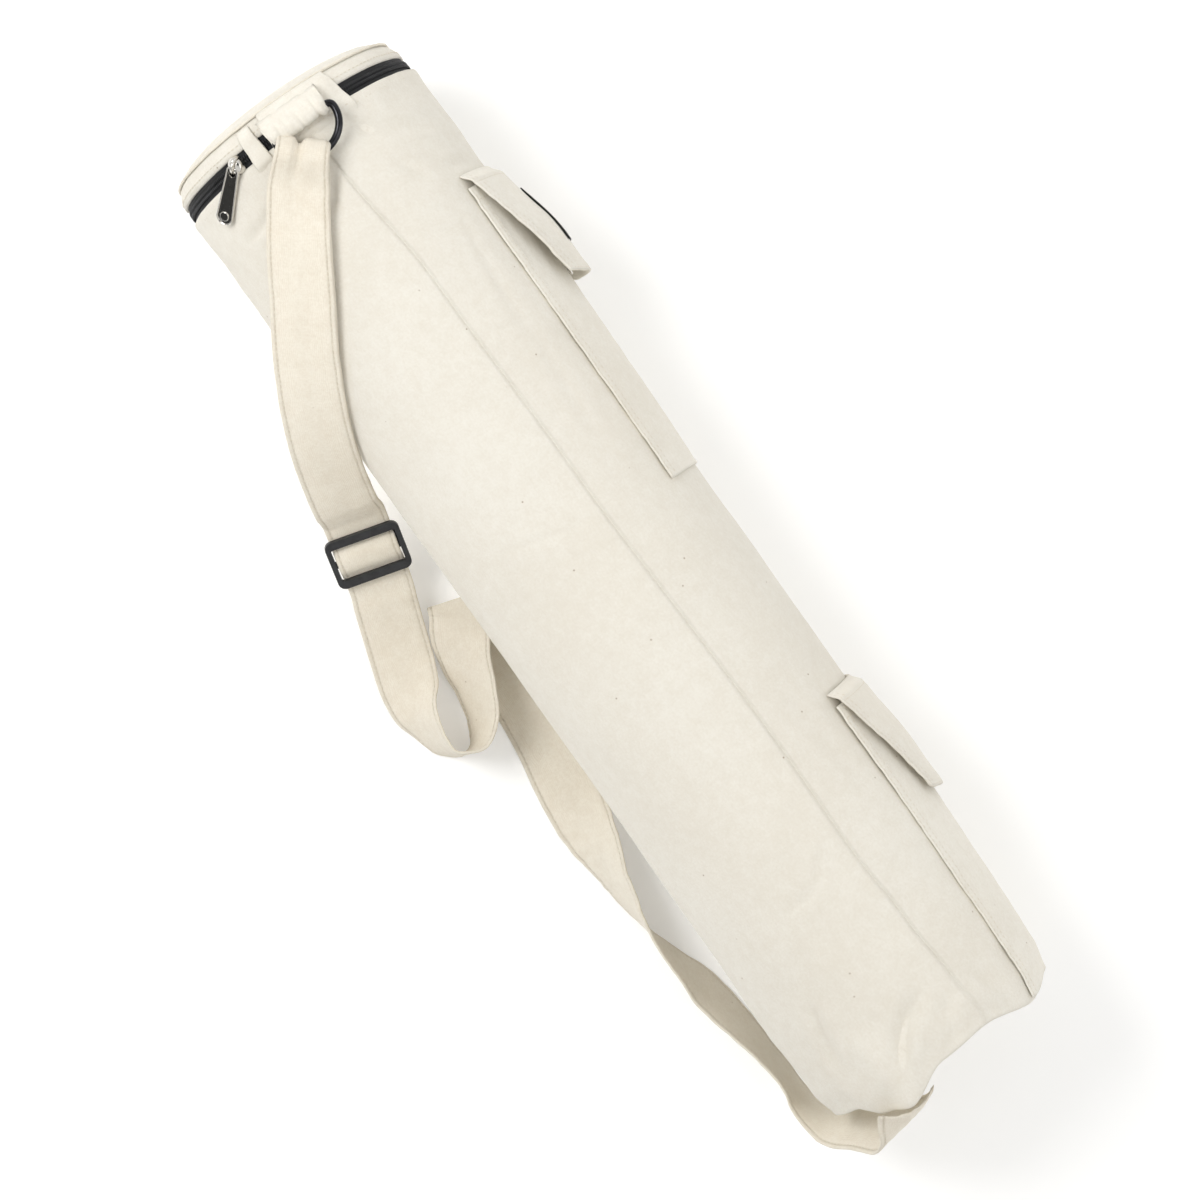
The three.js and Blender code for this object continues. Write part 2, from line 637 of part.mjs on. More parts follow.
// At the buckle the strap runs straight, goes under its long bars and over its centre bar
const buckle = strapSection(buckleRow);
const buckleRise = strapThick / 2 + seamGap + buckleThick / 2;
const centreBarThick = buckleThick - 1;
const overBar = 2 * seamGap + strapThick + centreBarThick;
const layerStep = strapThick + 2 * seamGap;
function atBuckle(section, layer) {
  const reach = section.centre.clone().sub(buckle.centre).dot(buckle.ahead);
  const distance = Math.abs(reach);
  const straight = 1 - THREE.MathUtils.smoothstep(distance, buckleWidth * 0.6, buckleWidth * 1.1);
  const line = buckle.centre.clone().addScaledVector(buckle.ahead, reach);
  section.centre.lerp(line, straight);
  section.width.lerp(buckle.width, straight).normalize();
  section.up.lerp(buckle.up, straight).normalize();
  const inner = buckleWidth / 2 - buckleLongBar - seamGap;
  const hump = 1 - THREE.MathUtils.smoothstep(distance, buckleCentreBar * 0.65, inner);
  section.centre.addScaledVector(section.up, hump * (layer ? layerStep : overBar));
  return section;
}

// The lower layer drops off the upper one by a cloth's thickness, and by the ring's wire there
function lowerLayer(row) {
  const section = atBuckle(strapSection(row), 1);
  const nearRing = 1 - THREE.MathUtils.smoothstep(row, ringTaper / 4, ringTaper * 1.2);
  const drop = THREE.MathUtils.lerp(layerStep, 2 * wireClear, nearRing);
  section.centre.addScaledVector(section.up, -drop);
  return section;
}

// The upper layer, and the bend round the ring's wire between the two layers
const upperLayer = (row) => atBuckle(strapSection(row), 0);
const ringSection = strapSection(0);
ringSection.up.setFromMatrixColumn(ringFrame, 2);
ringSection.ahead.cross(ringSection.up).cross(ringSection.up).negate().normalize();
ringSection.width.crossVectors(ringSection.up, ringSection.ahead);
const bendRoom = strapWidth / 9;
const bend = steps(-90, 90, 6).map((turn) => {
  const angle = degrees(turn);
  const back = Math.cos(angle) * wireClear + bendRoom;
  const centre = wirePlace.clone().addScaledVector(ringSection.up, Math.sin(angle) * wireClear);
  return { ...ringSection, centre: centre.addScaledVector(ringSection.ahead, -back) };
});

// Rows near the buckle are cut into finer steps
function rowSteps(start, end) {
  const list = [start];
  const way = Math.sign(end - start);
  for (let row = start; row !== end; row += way) {
    const middle = row + way / 2;
    const fine = Math.abs(middle - buckleRow) < 1 || middle < 1;
    const count = fine ? strapFine : strapCoarse;
    list.push(...steps(row, row + way, count).slice(1));
  }
  return list;
}

const strapPath = [
  ...rowSteps(buckleRow, 0).map(lowerLayer),
  ...bend,
  ...rowSteps(0, lastRow).map(upperLayer),
];
const strapSections = strapPath.map((section, step) => {
  const before = strapPath[Math.max(step - 1, 0)].centre;
  const after = strapPath[Math.min(step + 1, strapPath.length - 1)].centre;
  const ahead = after.clone().sub(before).normalize();
  const width = section.width.clone().addScaledVector(ahead, -ahead.dot(section.width)).normalize();
  const up = ahead.clone().cross(width);
  const corner = (side, top) => section.centre.clone()
    .addScaledVector(width, side * section.half)
    .addScaledVector(up, (top * strapThick) / 2);
  return [corner(1, 1), corner(-1, 1), corner(-1, -1), corner(1, -1)];
});
add('shoulder_strap', skin(strapSections, 'fan'), strapCanvas);

// Strap buckle: a rounded frame of two long bars and two ends, with a lower centre bar
function roundedBox(path, length, width, corner) {
  const x = length / 2;
  const y = width / 2;
  path.moveTo(-x + corner, -y);
  path.lineTo(x - corner, -y);
  path.absarc(x - corner, -y + corner, corner, -Math.PI / 2, 0);
  path.lineTo(x, y - corner);
  path.absarc(x - corner, y - corner, corner, 0, Math.PI / 2);
  path.lineTo(-x + corner, y);
  path.absarc(-x + corner, y - corner, corner, Math.PI / 2, Math.PI);
  path.lineTo(-x, -y + corner);
  path.absarc(-x + corner, -y + corner, corner, Math.PI, Math.PI * 1.5);
  return path;
}
const windowLength = buckleLength - 2 * buckleEndBar;
const windowWidth = buckleWidth - 2 * buckleLongBar;
const buckleShape = roundedBox(new THREE.Shape(), buckleLength, buckleWidth, buckleCorner);
buckleShape.holes.push(roundedBox(new THREE.Path(), windowLength, windowWidth, 1.2));
const buckleFrame = new THREE.ExtrudeGeometry(buckleShape, {
  depth: buckleThick,
  bevelEnabled: false,
  curveSegments: 5,
});
const centreBar = new THREE.BoxGeometry(windowLength + buckleEndBar, buckleCentreBar, centreBarThick);
centreBar.translate(0, 0, centreBarThick / 2);
const bucklePlace = new THREE.Matrix4().makeBasis(buckle.width, buckle.ahead.clone().negate(), buckle.up);
bucklePlace.setPosition(buckle.centre.clone().addScaledVector(buckle.up, buckleRise - buckleThick / 2));
add('strap_buckle', fromSolid(toSolid(buckleFrame).add(toSolid(centreBar))), blackPlastic, bucklePlace);

// Pockets and flaps
const sewnGap = seamGap * 2.3;
const lowerPocketLength = bottomEnd - bottomInset * 1.5 - lowerPocketTop;
const pocketRise = (along, across) => (
  sewnGap + pocketSlack * (1 - 4 * across * across) * (1 - along * along)
);
const flapRise = (lift) => (along, across) => {
  const overPocket = THREE.MathUtils.smoothstep(along, 0, (flapHingeLap / flapLength) * 0.9);
  const crown = 1 - 2 * across * across;
  const raised = lift * Math.sin(Math.PI * clamp(along * 0.72, 0, 0.5)) ** 2 * crown;
  return sewnGap + overPocket * (pocketCloth + pocketSlack + sewnGap) + raised;
};

function addPocket(side, top, length, lift) {
  const hinge = top - flapHingeLap;
  add(`${side}_pocket`, bagPanel({
    start: top,
    end: top + length,
    around: pocketAround,
    startSpan: pocketSpan,
    endSpan: pocketSpan,
    thick: pocketCloth,
    rise: pocketRise,
    alongCount: 12,
    roundCount: 10,
  }), canvas);
  add(`${side}_flap`, bagPanel({
    start: hinge,
    end: hinge + flapLength,
    around: pocketAround,
    startSpan: pocketSpan,
    endSpan: flapTipSpan,
    thick: pocketCloth,
    rise: flapRise(lift),
    alongCount: 10,
    roundCount: 10,
  }), canvas);
  return hinge;
}

const upperHinge = addPocket('upper', upperPocketTop, upperPocketLength, upperFlapLift);
addPocket('lower', lowerPocketTop, lowerPocketLength, lowerFlapLift);

// Woven label on the upper flap, and the two halves of its snap
const roundDegrees = (length) => length / degrees(1) / bagRadius;
const labelStart = (flapLength - labelLength) / 2;
add('upper_label', bagPanel({
  start: upperHinge + labelStart,
  end: upperHinge + labelStart + labelLength,
  around: pocketAround,
  startSpan: roundDegrees(labelWidth),
  endSpan: roundDegrees(labelWidth),
  thick: labelThick,
  rise: (along) => {
    const share = (labelStart + along * labelLength) / flapLength;
    return flapRise(upperFlapLift)(share, 0) + pocketCloth + seamGap;
  },
  alongCount: 5,
  roundCount: 2,
}), blackTape);

const snapShare = 0.88;
const snapX = upperHinge + snapShare * flapLength;
function snapHalf(lift) {
  const disc = new THREE.CylinderGeometry(snapDiameter / 2, snapDiameter / 2, snapHeight, 16);
  disc.rotateX(Math.PI / 2);
  return [fromSolid(toSolid(disc)), nickel, bagFrame(snapX, pocketAround, lift + snapHeight / 2)];
}
const pocketShare = (snapX - upperPocketTop) / upperPocketLength;
const studLift = pocketRise(pocketShare, 0) + pocketCloth + seamGap;
add('snap_stud', ...snapHalf(studLift));
const socketLift = flapRise(upperFlapLift)(snapShare, 0) - 2 * seamGap - snapHeight;
add('snap_socket', ...snapHalf(socketLift));

export default bag;
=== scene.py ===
import math

import bmesh
import bpy
from mathutils import Matrix, Vector, noise


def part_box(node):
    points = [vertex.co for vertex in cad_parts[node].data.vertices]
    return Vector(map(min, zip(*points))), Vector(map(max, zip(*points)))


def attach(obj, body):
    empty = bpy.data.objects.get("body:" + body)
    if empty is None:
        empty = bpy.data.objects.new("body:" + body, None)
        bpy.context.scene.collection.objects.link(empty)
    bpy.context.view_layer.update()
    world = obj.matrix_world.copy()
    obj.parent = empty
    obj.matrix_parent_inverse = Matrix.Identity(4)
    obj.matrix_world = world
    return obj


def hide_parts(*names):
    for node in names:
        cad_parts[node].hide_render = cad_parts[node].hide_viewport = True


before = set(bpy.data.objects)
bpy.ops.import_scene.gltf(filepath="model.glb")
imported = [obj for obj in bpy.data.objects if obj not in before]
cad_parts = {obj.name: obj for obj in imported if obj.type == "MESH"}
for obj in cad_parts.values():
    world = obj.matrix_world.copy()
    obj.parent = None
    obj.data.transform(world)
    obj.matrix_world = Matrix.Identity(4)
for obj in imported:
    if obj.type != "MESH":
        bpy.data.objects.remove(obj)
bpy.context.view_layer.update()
millimetre = 0.001
weld = 1e-6
scene = bpy.context.scene
print("frame loaded")


def ease(value, low, high):
    share = min(max((value - low) / (high - low), 0.0), 1.0)
    return share * share * (3 - 2 * share)


def mix(low, high, share):
    return low + (high - low) * share


def bump(value, centre, width):
    return math.exp(-(((value - centre) / width) ** 2))


def fromRows(rows, key, value, column):
    if value <= rows[0][key]:
        return rows[0][column]
    for low, high in zip(rows, rows[1:]):
        if value < high[key]:
            return mix(low[column], high[column], ease(value, low[key], high[key]))
    return rows[-1][column]


def ripple(x, y, size, seed=0.0):
    return noise.noise(Vector((x / size, y / size, seed)))


def turn(angle):
    return math.radians(angle)


def table(columns, *rows):
    return [dict(zip(columns.split(), row)) for row in rows]


view = {
    "place": (4, -13.4, 2256.5), "right": (0.5787, 0.8155, 0), "up": (-0.8155, 0.5787, 0), "angle": 19.0
}
studio = {
    "floorSize": 9,
    "floorGlow": 0.16,
    "worldStrength": 0.80,
    "keyEnergy": 22,
    "keySize": 1.1,
    "keyPlace": (-1.15, -0.75, 1.75),
    "fillEnergy": 9,
    "fillSize": 2.2,
    "fillPlace": (0.9, 1.1, 1.9),
    "holeStart": 0.945,
    "holeEnd": 0.985,
    "holeStrength": 0.06,
    "flagWay": (0.02, -0.96, 0.27),
    "flagStart": 0.88,
    "flagEnd": 0.95,
}


def makeCamera():
    camera = bpy.data.objects.new("camera", bpy.data.cameras.new("camera"))
    scene.collection.objects.link(camera)
    right, up = Vector(view["right"]), Vector(view["up"])
    away = right.cross(up)
    facing = Matrix((right, up, away)).transposed().to_4x4()
    camera.matrix_world = Matrix.Translation(Vector(view["place"]) * millimetre) @ facing
    camera.data.angle = turn(view["angle"])
    camera.data.clip_start = 0.05
    scene.camera = camera


def makeLamp(side):
    # a round soft box that faces the bag
    lamp = bpy.data.lights.new(side + "Light", "AREA")
    lamp.energy = studio[side + "Energy"]
    lamp.shape = "DISK"
    lamp.size = studio[side + "Size"]
    ob = bpy.data.objects.new(side + "Light", lamp)
    scene.collection.objects.link(ob)
    place = Vector(studio[side + "Place"])
    toBag = Vector((0, 0, 0.08)) - place
    ob.matrix_world = Matrix.Translation(place) @ toBag.to_track_quat("-Z", "Y").to_matrix().to_4x4()


def feed(tree, place, value):
    # a socket takes a colour, a number or what another node puts out
    if isinstance(value, tuple):
        place.default_value = (*value, 1)
    elif isinstance(value, (int, float)):
        place.default_value = value
    else:
        tree.links.new(value, place)


def maths(tree, operation, *values):
    node = tree.nodes.new("ShaderNodeMath")
    node.operation = operation
    for place, value in zip(node.inputs, values):
        feed(tree, place, value)
    return node.outputs[0]


def rangeOf(tree, value, fromLow, fromHigh, toLow, toHigh):
    node = tree.nodes.new("ShaderNodeMapRange")
    node.interpolation_type = "SMOOTHSTEP"
    tree.links.new(value, node.inputs["Value"])
    for label, number in zip(
        ("From Min", "From Max", "To Min", "To Max"), (fromLow, fromHigh, toLow, toHigh)
    ):
        node.inputs[label].default_value = number
    return node.outputs["Result"]


def makeWorld():
    world = bpy.data.worlds.new("studio")
    world.use_nodes = True
    tree = world.node_tree
    sky = tree.nodes["Background"]
    sky.inputs["Color"].default_value = (1.0, 0.995, 0.985, 1)
    # the tent has an opening overhead, which flat metal reflects
    place = tree.nodes.new("ShaderNodeTexCoord")
    height = tree.nodes.new("ShaderNodeSeparateXYZ")
    tree.links.new(place.outputs["Generated"], height.inputs[0])
    strength = rangeOf(
        tree, height.outputs["Z"], studio["holeStart"], studio["holeEnd"], studio["worldStrength"],
        studio["holeStrength"]
    )
    # and a dark flag stands on the side that the zip pull faces
    facing = tree.nodes.new("ShaderNodeVectorMath")
    facing.operation = "DOT_PRODUCT"
    tree.links.new(place.outputs["Generated"], facing.inputs[0])
    facing.inputs[1].default_value = studio["flagWay"]
    unflagged = rangeOf(
        tree, facing.outputs["Value"], studio["flagStart"], studio["flagEnd"], 1, studio["holeStrength"]
    )
    # the camera itself sees a plain white backdrop
    seen = tree.nodes.new("ShaderNodeLightPath").outputs["Is Camera Ray"]
    lit = maths(tree, "MULTIPLY", strength, unflagged)
    tree.links.new(maths(tree, "MAXIMUM", lit, seen), sky.inputs["Strength"])
    scene.world = world


makeCamera()
makeWorld()
makeLamp("key")
makeLamp("fill")
scene.view_settings.view_transform = "Standard"
print("camera and lights placed")


def newGroup(name, inputs, outputs):
    group = bpy.data.node_groups.new(name, "ShaderNodeTree")
    for label, kind, value in inputs:
        made = group.interface.new_socket(label, in_out="INPUT", socket_type=kind)
        if value is not None:
            made.default_value = value
    for label, kind in outputs:
        group.interface.new_socket(label, in_out="OUTPUT", socket_type=kind)
    return group, group.nodes.new("NodeGroupInput"), group.nodes.new("NodeGroupOutput")


def noiseAt(tree, vector, scale, detail=3.0, roughness=0.55):
    node = tree.nodes.new("ShaderNodeTexNoise")
    node.inputs["Scale"].default_value = scale
    node.inputs["Detail"].default_value = detail
    node.inputs["Roughness"].default_value = roughness
    tree.links.new(vector, node.inputs["Vector"])
    return node.outputs["Fac"]


def makePlainWeave():
    # over and under threads of a plain weave, with uneven yarn
    group, given, put = newGroup(
        "plainWeave",
        [
            ("Cloth", "NodeSocketVector", None), ("Pitch", "NodeSocketFloat", 0.75),
            ("Uneven", "NodeSocketFloat", 0.3)
        ],
        [("Height", "NodeSocketFloat"), ("Yarn", "NodeSocketFloat")],
    )
    cloth = given.outputs["Cloth"]
    drift = group.nodes.new("ShaderNodeTexNoise")
    drift.inputs["Scale"].default_value = 0.16
    drift.inputs["Detail"].default_value = 2
    group.links.new(cloth, drift.inputs["Vector"])
    parts = group.nodes.new("ShaderNodeSeparateXYZ")
    group.links.new(cloth, parts.inputs[0])
    shift = maths(
        group, "MULTIPLY", maths(group, "SUBTRACT", drift.outputs["Fac"], 0.5), given.outputs["Uneven"]
    )
    waves = []
    for axis in ("X", "Y"):
        along = maths(group, "ADD", parts.outputs[axis], maths(group, "MULTIPLY", shift, 6))
        waves.append(
            maths(
                group, "SINE",
                maths(group, "DIVIDE", maths(group, "MULTIPLY", along, math.pi), given.outputs["Pitch"])
            )
        )
    over = rangeOf(group, maths(group, "MULTIPLY", waves[0], waves[1]), -0.35, 0.35, 0, 1)
    warp, weft = (maths(group, "ABSOLUTE", wave) for wave in waves)
    height = maths(
        group, "ADD", maths(group, "MULTIPLY", warp, over),
        maths(group, "MULTIPLY", weft, maths(group, "SUBTRACT", 1, over))
    )
    slubs = []
    for stretch in ((0.09, 1.6, 1), (1.6, 0.09, 1)):
        squeezed = group.nodes.new("ShaderNodeMapping")
        squeezed.inputs["Scale"].default_value = stretch
        group.links.new(cloth, squeezed.inputs["Vector"])
        slubs.append(noiseAt(group, squeezed.outputs[0], 1.0, 2))
    yarn = maths(group, "MULTIPLY", maths(group, "ADD", slubs[0], slubs[1]), 0.5)
    group.links.new(
        maths(group, "ADD", maths(group, "MULTIPLY", height, 0.6), maths(group, "MULTIPLY", yarn, 0.55)),
        put.inputs["Height"]
    )
    group.links.new(yarn, put.inputs["Yarn"])
    return group


def makeScuff():
    # fine scratches and smudges that make a hard finish uneven
    group, given, put = newGroup(
        "scuff",
        [
            ("Place", "NodeSocketVector", None), ("Base", "NodeSocketFloat", 0.3),
            ("Spread", "NodeSocketFloat", 0.15)
        ],
        [("Roughness", "NodeSocketFloat"), ("Height", "NodeSocketFloat")],
    )
    broad = noiseAt(group, given.outputs["Place"], 240, 4)
    squeezed = group.nodes.new("ShaderNodeMapping")
    squeezed.inputs["Scale"].default_value = (2500, 240, 700)
    group.links.new(given.outputs["Place"], squeezed.inputs["Vector"])
    fine = noiseAt(group, squeezed.outputs[0], 1.0, 2)
    uneven = maths(
        group, "MULTIPLY", maths(group, "SUBTRACT", maths(group, "ADD", broad, fine), 1.0),
        given.outputs["Spread"]
    )
    group.links.new(maths(group, "ADD", given.outputs["Base"], uneven), put.inputs["Roughness"])
    group.links.new(fine, put.inputs["Height"])
    return group


weaveGroup = makePlainWeave()
scuffGroup = makeScuff()


def newMaterial(name, roughness, metallic=0.0, sheen=0.0):
    material = bpy.data.materials.new(name)
    material.use_nodes = True
    shader = material.node_tree.nodes["Principled BSDF"]
    shader.inputs["Roughness"].default_value = roughness
    shader.inputs["Metallic"].default_value = metallic
    if sheen:
        shader.inputs["Sheen Weight"].default_value = sheen
        shader.inputs["Sheen Roughness"].default_value = 0.6
    return material, material.node_tree, shader


def placeGroup(tree, group, values):
    node = tree.nodes.new("ShaderNodeGroup")
    node.node_tree = group
    for label, value in values.items():
        feed(tree, node.inputs[label], value)
    return node


def colourMix(tree, share, first, second):
    node = tree.nodes.new("ShaderNodeMix")
    node.data_type = "RGBA"
    for label, value in (("Factor", share), ("A", first), ("B", second)):
        feed(tree, node.inputs[label], value)
    return node.outputs["Result"]


def clothMaterial(name, look):
    material, tree, shader = newMaterial(name, look["roughness"], sheen=look["sheen"])
    place = tree.nodes.new("ShaderNodeTexCoord")
    millimetres = tree.nodes.new("ShaderNodeMapping")
    millimetres.inputs["Scale"].default_value = (1000, 1000, 1000)
    tree.links.new(place.outputs["UV"], millimetres.inputs["Vector"])
    weave = placeGroup(
        tree, weaveGroup,
        {"Cloth": millimetres.outputs[0], "Pitch": look["pitch"], "Uneven": look["uneven"]}
    )
    broad = noiseAt(tree, place.outputs["Object"], 9, 4)
    close = noiseAt(tree, place.outputs["Object"], 130, 4, 0.65)
    grain = noiseAt(tree, place.outputs["Object"], 620, 2, 0.7)
    shade = maths(tree, "ADD", maths(tree, "MULTIPLY", broad, 0.35), maths(tree, "MULTIPLY", close, 0.3))
    shade = maths(tree, "ADD", shade, maths(tree, "MULTIPLY", grain, 0.35))
    colour = colourMix(tree, rangeOf(tree, shade, 0.34, 0.66, 0, 1), look["dark"], look["light"])
    # painted shade: the hollows between the yarns are darkened towards the gap colour, by the gaps share
    colour = colourMix(
        tree, rangeOf(tree, weave.outputs["Height"], 0.25, 0.75, look["gaps"], 0), colour,
        look["gapShadeColour"]
    )
    if look["flecks"]:
        cells = tree.nodes.new("ShaderNodeTexVoronoi")
        cells.inputs["Scale"].default_value = 85
        tree.links.new(place.outputs["Object"], cells.inputs["Vector"])
        dots = rangeOf(tree, cells.outputs["Distance"], 0.035, 0.06, look["flecks"], 0)
        few = rangeOf(tree, noiseAt(tree, place.outputs["Object"], 31, 1), 0.56, 0.6, 0, 1)
        colour = colourMix(tree, maths(tree, "MULTIPLY", dots, few), colour, look["fleckColour"])
    tree.links.new(colour, shader.inputs["Base Color"])
    relief = tree.nodes.new("ShaderNodeBump")
    relief.inputs["Strength"].default_value = look["relief"]
    relief.inputs["Distance"].default_value = 0.0003
    tree.links.new(
        maths(tree, "ADD", weave.outputs["Height"], maths(tree, "MULTIPLY", close, 0.8)),
        relief.inputs["Height"]
    )
    tree.links.new(relief.outputs["Normal"], shader.inputs["Normal"])
    return material


def hardMaterial(name, look):
    material, tree, shader = newMaterial(name, look["roughness"], look["metallic"])
    place = tree.nodes.new("ShaderNodeTexCoord")
    scuff = placeGroup(
        tree, scuffGroup,
        {"Place": place.outputs["Object"], "Base": look["roughness"], "Spread": look["spread"]}
    )
    tree.links.new(scuff.outputs["Roughness"], shader.inputs["Roughness"])
    cloudy = noiseAt(tree, place.outputs["Object"], 160, 3)
    tree.links.new(
        colourMix(tree, rangeOf(tree, cloudy, 0.35, 0.65, 0, 1), look["dark"], look["light"]),
        shader.inputs["Base Color"]
    )
    relief = tree.nodes.new("ShaderNodeBump")
    relief.inputs["Strength"].default_value = look["relief"]
    relief.inputs["Distance"].default_value = 0.0001
    tree.links.new(scuff.outputs["Height"], relief.inputs["Height"])
    tree.links.new(relief.outputs["Normal"], shader.inputs["Normal"])
    return material


def floorMaterial(name, look):
    # smooth paper, faintly lit from behind
    material, tree, shader = newMaterial(name, look["roughness"])
    mottle = noiseAt(tree, tree.nodes.new("ShaderNodeTexCoord").outputs["Object"], 9, 1)
    tree.links.new(colourMix(tree, mottle, look["dark"], look["light"]), shader.inputs["Base Color"])
    shader.inputs["Emission Color"].default_value = (1, 1, 1, 1)
    shader.inputs["Emission Strength"].default_value = studio["floorGlow"]
    return material


# in each cloth look the gap colour and the gaps share are painted shade in the hollows of the weave
canvasLook = {
    "light": (0.875, 0.845, 0.765), "dark": (0.80, 0.755, 0.66), "gapShadeColour": (
        0.55, 0.48, 0.37
    ), "gaps": 0.34,
    "fleckColour": (0.3, 0.2, 0.11), "flecks": 0.7, "roughness": 0.93, "sheen": 0.12, "pitch": 0.62,
    "uneven": 0.25, "relief": 0.6,
}
strapLook = {
    **canvasLook, "light": (0.86, 0.81, 0.70), "dark": (0.77, 0.70, 0.58), "pitch": 0.55, "flecks": 0.4
}
threadLook = {
    **canvasLook, "light": (0.93, 0.89, 0.79), "dark": (0.86, 0.79, 0.65), "flecks": 0.0, "pitch": 0.3,
    "gaps": 0.5
}
tapeLook = {
    "light": (0.016, 0.016, 0.018), "dark": (0.007, 0.007, 0.008), "gapShadeColour": (
        0.003, 0.003, 0.003
    ), "gaps": 0.5,
    "fleckColour": (0.05, 0.05, 0.05), "flecks": 0.0, "roughness": 0.8, "sheen": 0.05, "pitch": 0.4,
    "uneven": 0.15, "relief": 0.5,
}
nylonLook = {
    "light": (0.014, 0.014, 0.016), "dark": (0.006, 0.006, 0.007), "roughness": 0.42, "metallic": 0.0,
    "spread": 0.12, "relief": 0.2
}
plasticLook = {
    "light": (0.022, 0.023, 0.025), "dark": (0.012, 0.012, 0.013), "roughness": 0.4, "metallic": 0.0,
    "spread": 0.16, "relief": 0.35
}
floorLook = {"light": (0.93, 0.93, 0.925), "dark": (0.91, 0.91, 0.905), "roughness": 0.93}
nickelLook = {
    "light": (0.76, 0.74, 0.70), "dark": (0.66, 0.64, 0.60), "roughness": 0.1, "metallic": 1.0,
    "spread": 0.06, "relief": 0.1
}
blackMetalLook = {
    "light": (0.05, 0.05, 0.055), "dark": (0.025, 0.025, 0.027), "roughness": 0.2, "metallic": 1.0,
    "spread": 0.1, "relief": 0.15
}

canvas = clothMaterial("naturalCanvas", canvasLook)
strapCloth = clothMaterial("strapCanvas", strapLook)
thread = clothMaterial("cottonThread", threadLook)
paper = floorMaterial("paleFloor", floorLook)
blackTape = clothMaterial("blackTape", tapeLook)
nylon = hardMaterial("nylonCoil", nylonLook)
plastic = hardMaterial("mouldedPlastic", plasticLook)
nickel = hardMaterial("polishedNickel", nickelLook)
blackMetal = hardMaterial("blackMetal", blackMetalLook)
print("materials made")


def finishPiece(mesh, name, material, replaced=(), body="bag"):
    data = bpy.data.meshes.new(name)
    mesh.to_mesh(data)
    mesh.free()
    data.materials.append(material)
    for face in data.polygons:
        face.use_smooth = True
    ob = bpy.data.objects.new(name, data)
    scene.collection.objects.link(ob)
    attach(ob, body)
    if replaced:
        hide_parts(*replaced)
    return ob


def clothGrid(columns, rows, flat, place):
    # a flat cut of cloth, moved point by point to where it lies; flat is its width and length
    cloth = bmesh.new()
    bmesh.ops.create_grid(cloth, x_segments=columns, y_segments=rows, size=0.5)
    layer = cloth.loops.layers.uv.new("cloth")
    for face in cloth.faces:
        for corner in face.loops:
            at = corner.vert.co
            corner[layer].uv = ((at.x + 0.5) * flat[0] * millimetre, (at.y + 0.5) * flat[1] * millimetre)
    for vert in cloth.verts:
        vert.co = place(vert.co.x + 0.5, vert.co.y + 0.5) * millimetre
    bmesh.ops.remove_doubles(cloth, verts=cloth.verts, dist=weld)
    bmesh.ops.recalc_face_normals(cloth, faces=cloth.faces)
    return cloth


def evenSteps(start, end, count):
    return [mix(start, end, step / count) for step in range(count + 1)]


def copyAlong(template, places):
    # one small shape set down at many places
    shape = bpy.data.meshes.new("template")
    template.to_mesh(shape)
    template.free()
    copies = bmesh.new()
    for place in places:
        shape.transform(place)
        copies.from_mesh(shape)
        shape.transform(place.inverted())
    bpy.data.meshes.remove(shape)
    return copies


def frameOf(spot, ahead, up):
    # a place in metres from one in millimetres, with X ahead and Z up
    side = up.cross(ahead).normalized()
    top = ahead.normalized().cross(side)
    axes = Matrix((ahead.normalized(), side, top)).transposed().to_4x4()
    return Matrix.Translation(spot * millimetre) @ axes


def layered(columns, rows, flat, surface, thick):
    # cloth with two faces and soft edges; surface gives a place and the way out of it
    def place(across, along):
        u = 1 - abs(1 - 2 * across)
        u = mix(u, (1 - math.cos(math.pi * u)) / 2, 0.6)
        v = min(max((along - 0.5) * rows / (rows - 2) + 0.5, 0), 1)
        spot, out = surface(u, v)
        edge = 0 if u < 1e-6 or u > 1 - 1e-6 or along < 0.5 / rows or along > 1 - 0.5 / rows else 1
        return spot + out * (edge * thick / 2 * (1 if across < 0.5 else -1))

    return clothGrid(columns * 2, rows, (flat[0] * 2, flat[1]), place)


def softenEdges(mesh, sharpest, offset, segments=3):
    sharp = [edge for edge in mesh.edges if edge.calc_face_angle(0) > turn(sharpest)]
    bmesh.ops.bevel(mesh, geom=sharp, offset=offset, offset_type="OFFSET", segments=segments,
                    profile=0.5, affect="EDGES", clamp_overlap=True, material=-1)


def roundedCopy(node, offset):
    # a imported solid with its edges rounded, for hard pieces
    copied = bmesh.new()
    copied.from_mesh(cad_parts[node].data)
    bmesh.ops.remove_doubles(copied, verts=copied.verts, dist=weld)
    bmesh.ops.dissolve_limit(copied, angle_limit=turn(4), verts=copied.verts, edges=copied.edges)
    softenEdges(copied, 30, offset * millimetre)
    return copied


stitch = {"long": 2.5, "wide": 0.6, "tall": 0.5, "pitch": 3.4}


def stitchPlaces(path):
    # path is a close row of places, each with the way out of the cloth
    places, walked, wanted = [], 0.0, stitch["pitch"] / 2
    for (spot, out), (after, _) in zip(path, path[1:]):
        reach = (after - spot).length
        while reach > 0 and walked + reach >= wanted:
            at = spot.lerp(after, (wanted - walked) / reach)
            lean = 0.06 * ripple(wanted, at.x, 9)
            places.append(frameOf(at, after - spot + out.cross(after - spot) * lean, out))
            wanted += stitch["pitch"] * (1 + 0.12 * ripple(wanted, 0, 5))
        walked += reach
    return places


def sew(name, paths):
    template = bmesh.new()
    bmesh.ops.create_uvsphere(template, u_segments=6, v_segments=4, radius=0.5)
    size = Vector((stitch["long"], stitch["wide"], stitch["tall"])) * millimetre
    bmesh.ops.scale(template, vec=size, verts=template.verts)
    places = [place for path in paths for place in stitchPlaces(path)]
    return finishPiece(copyAlong(template, places), name, thread)


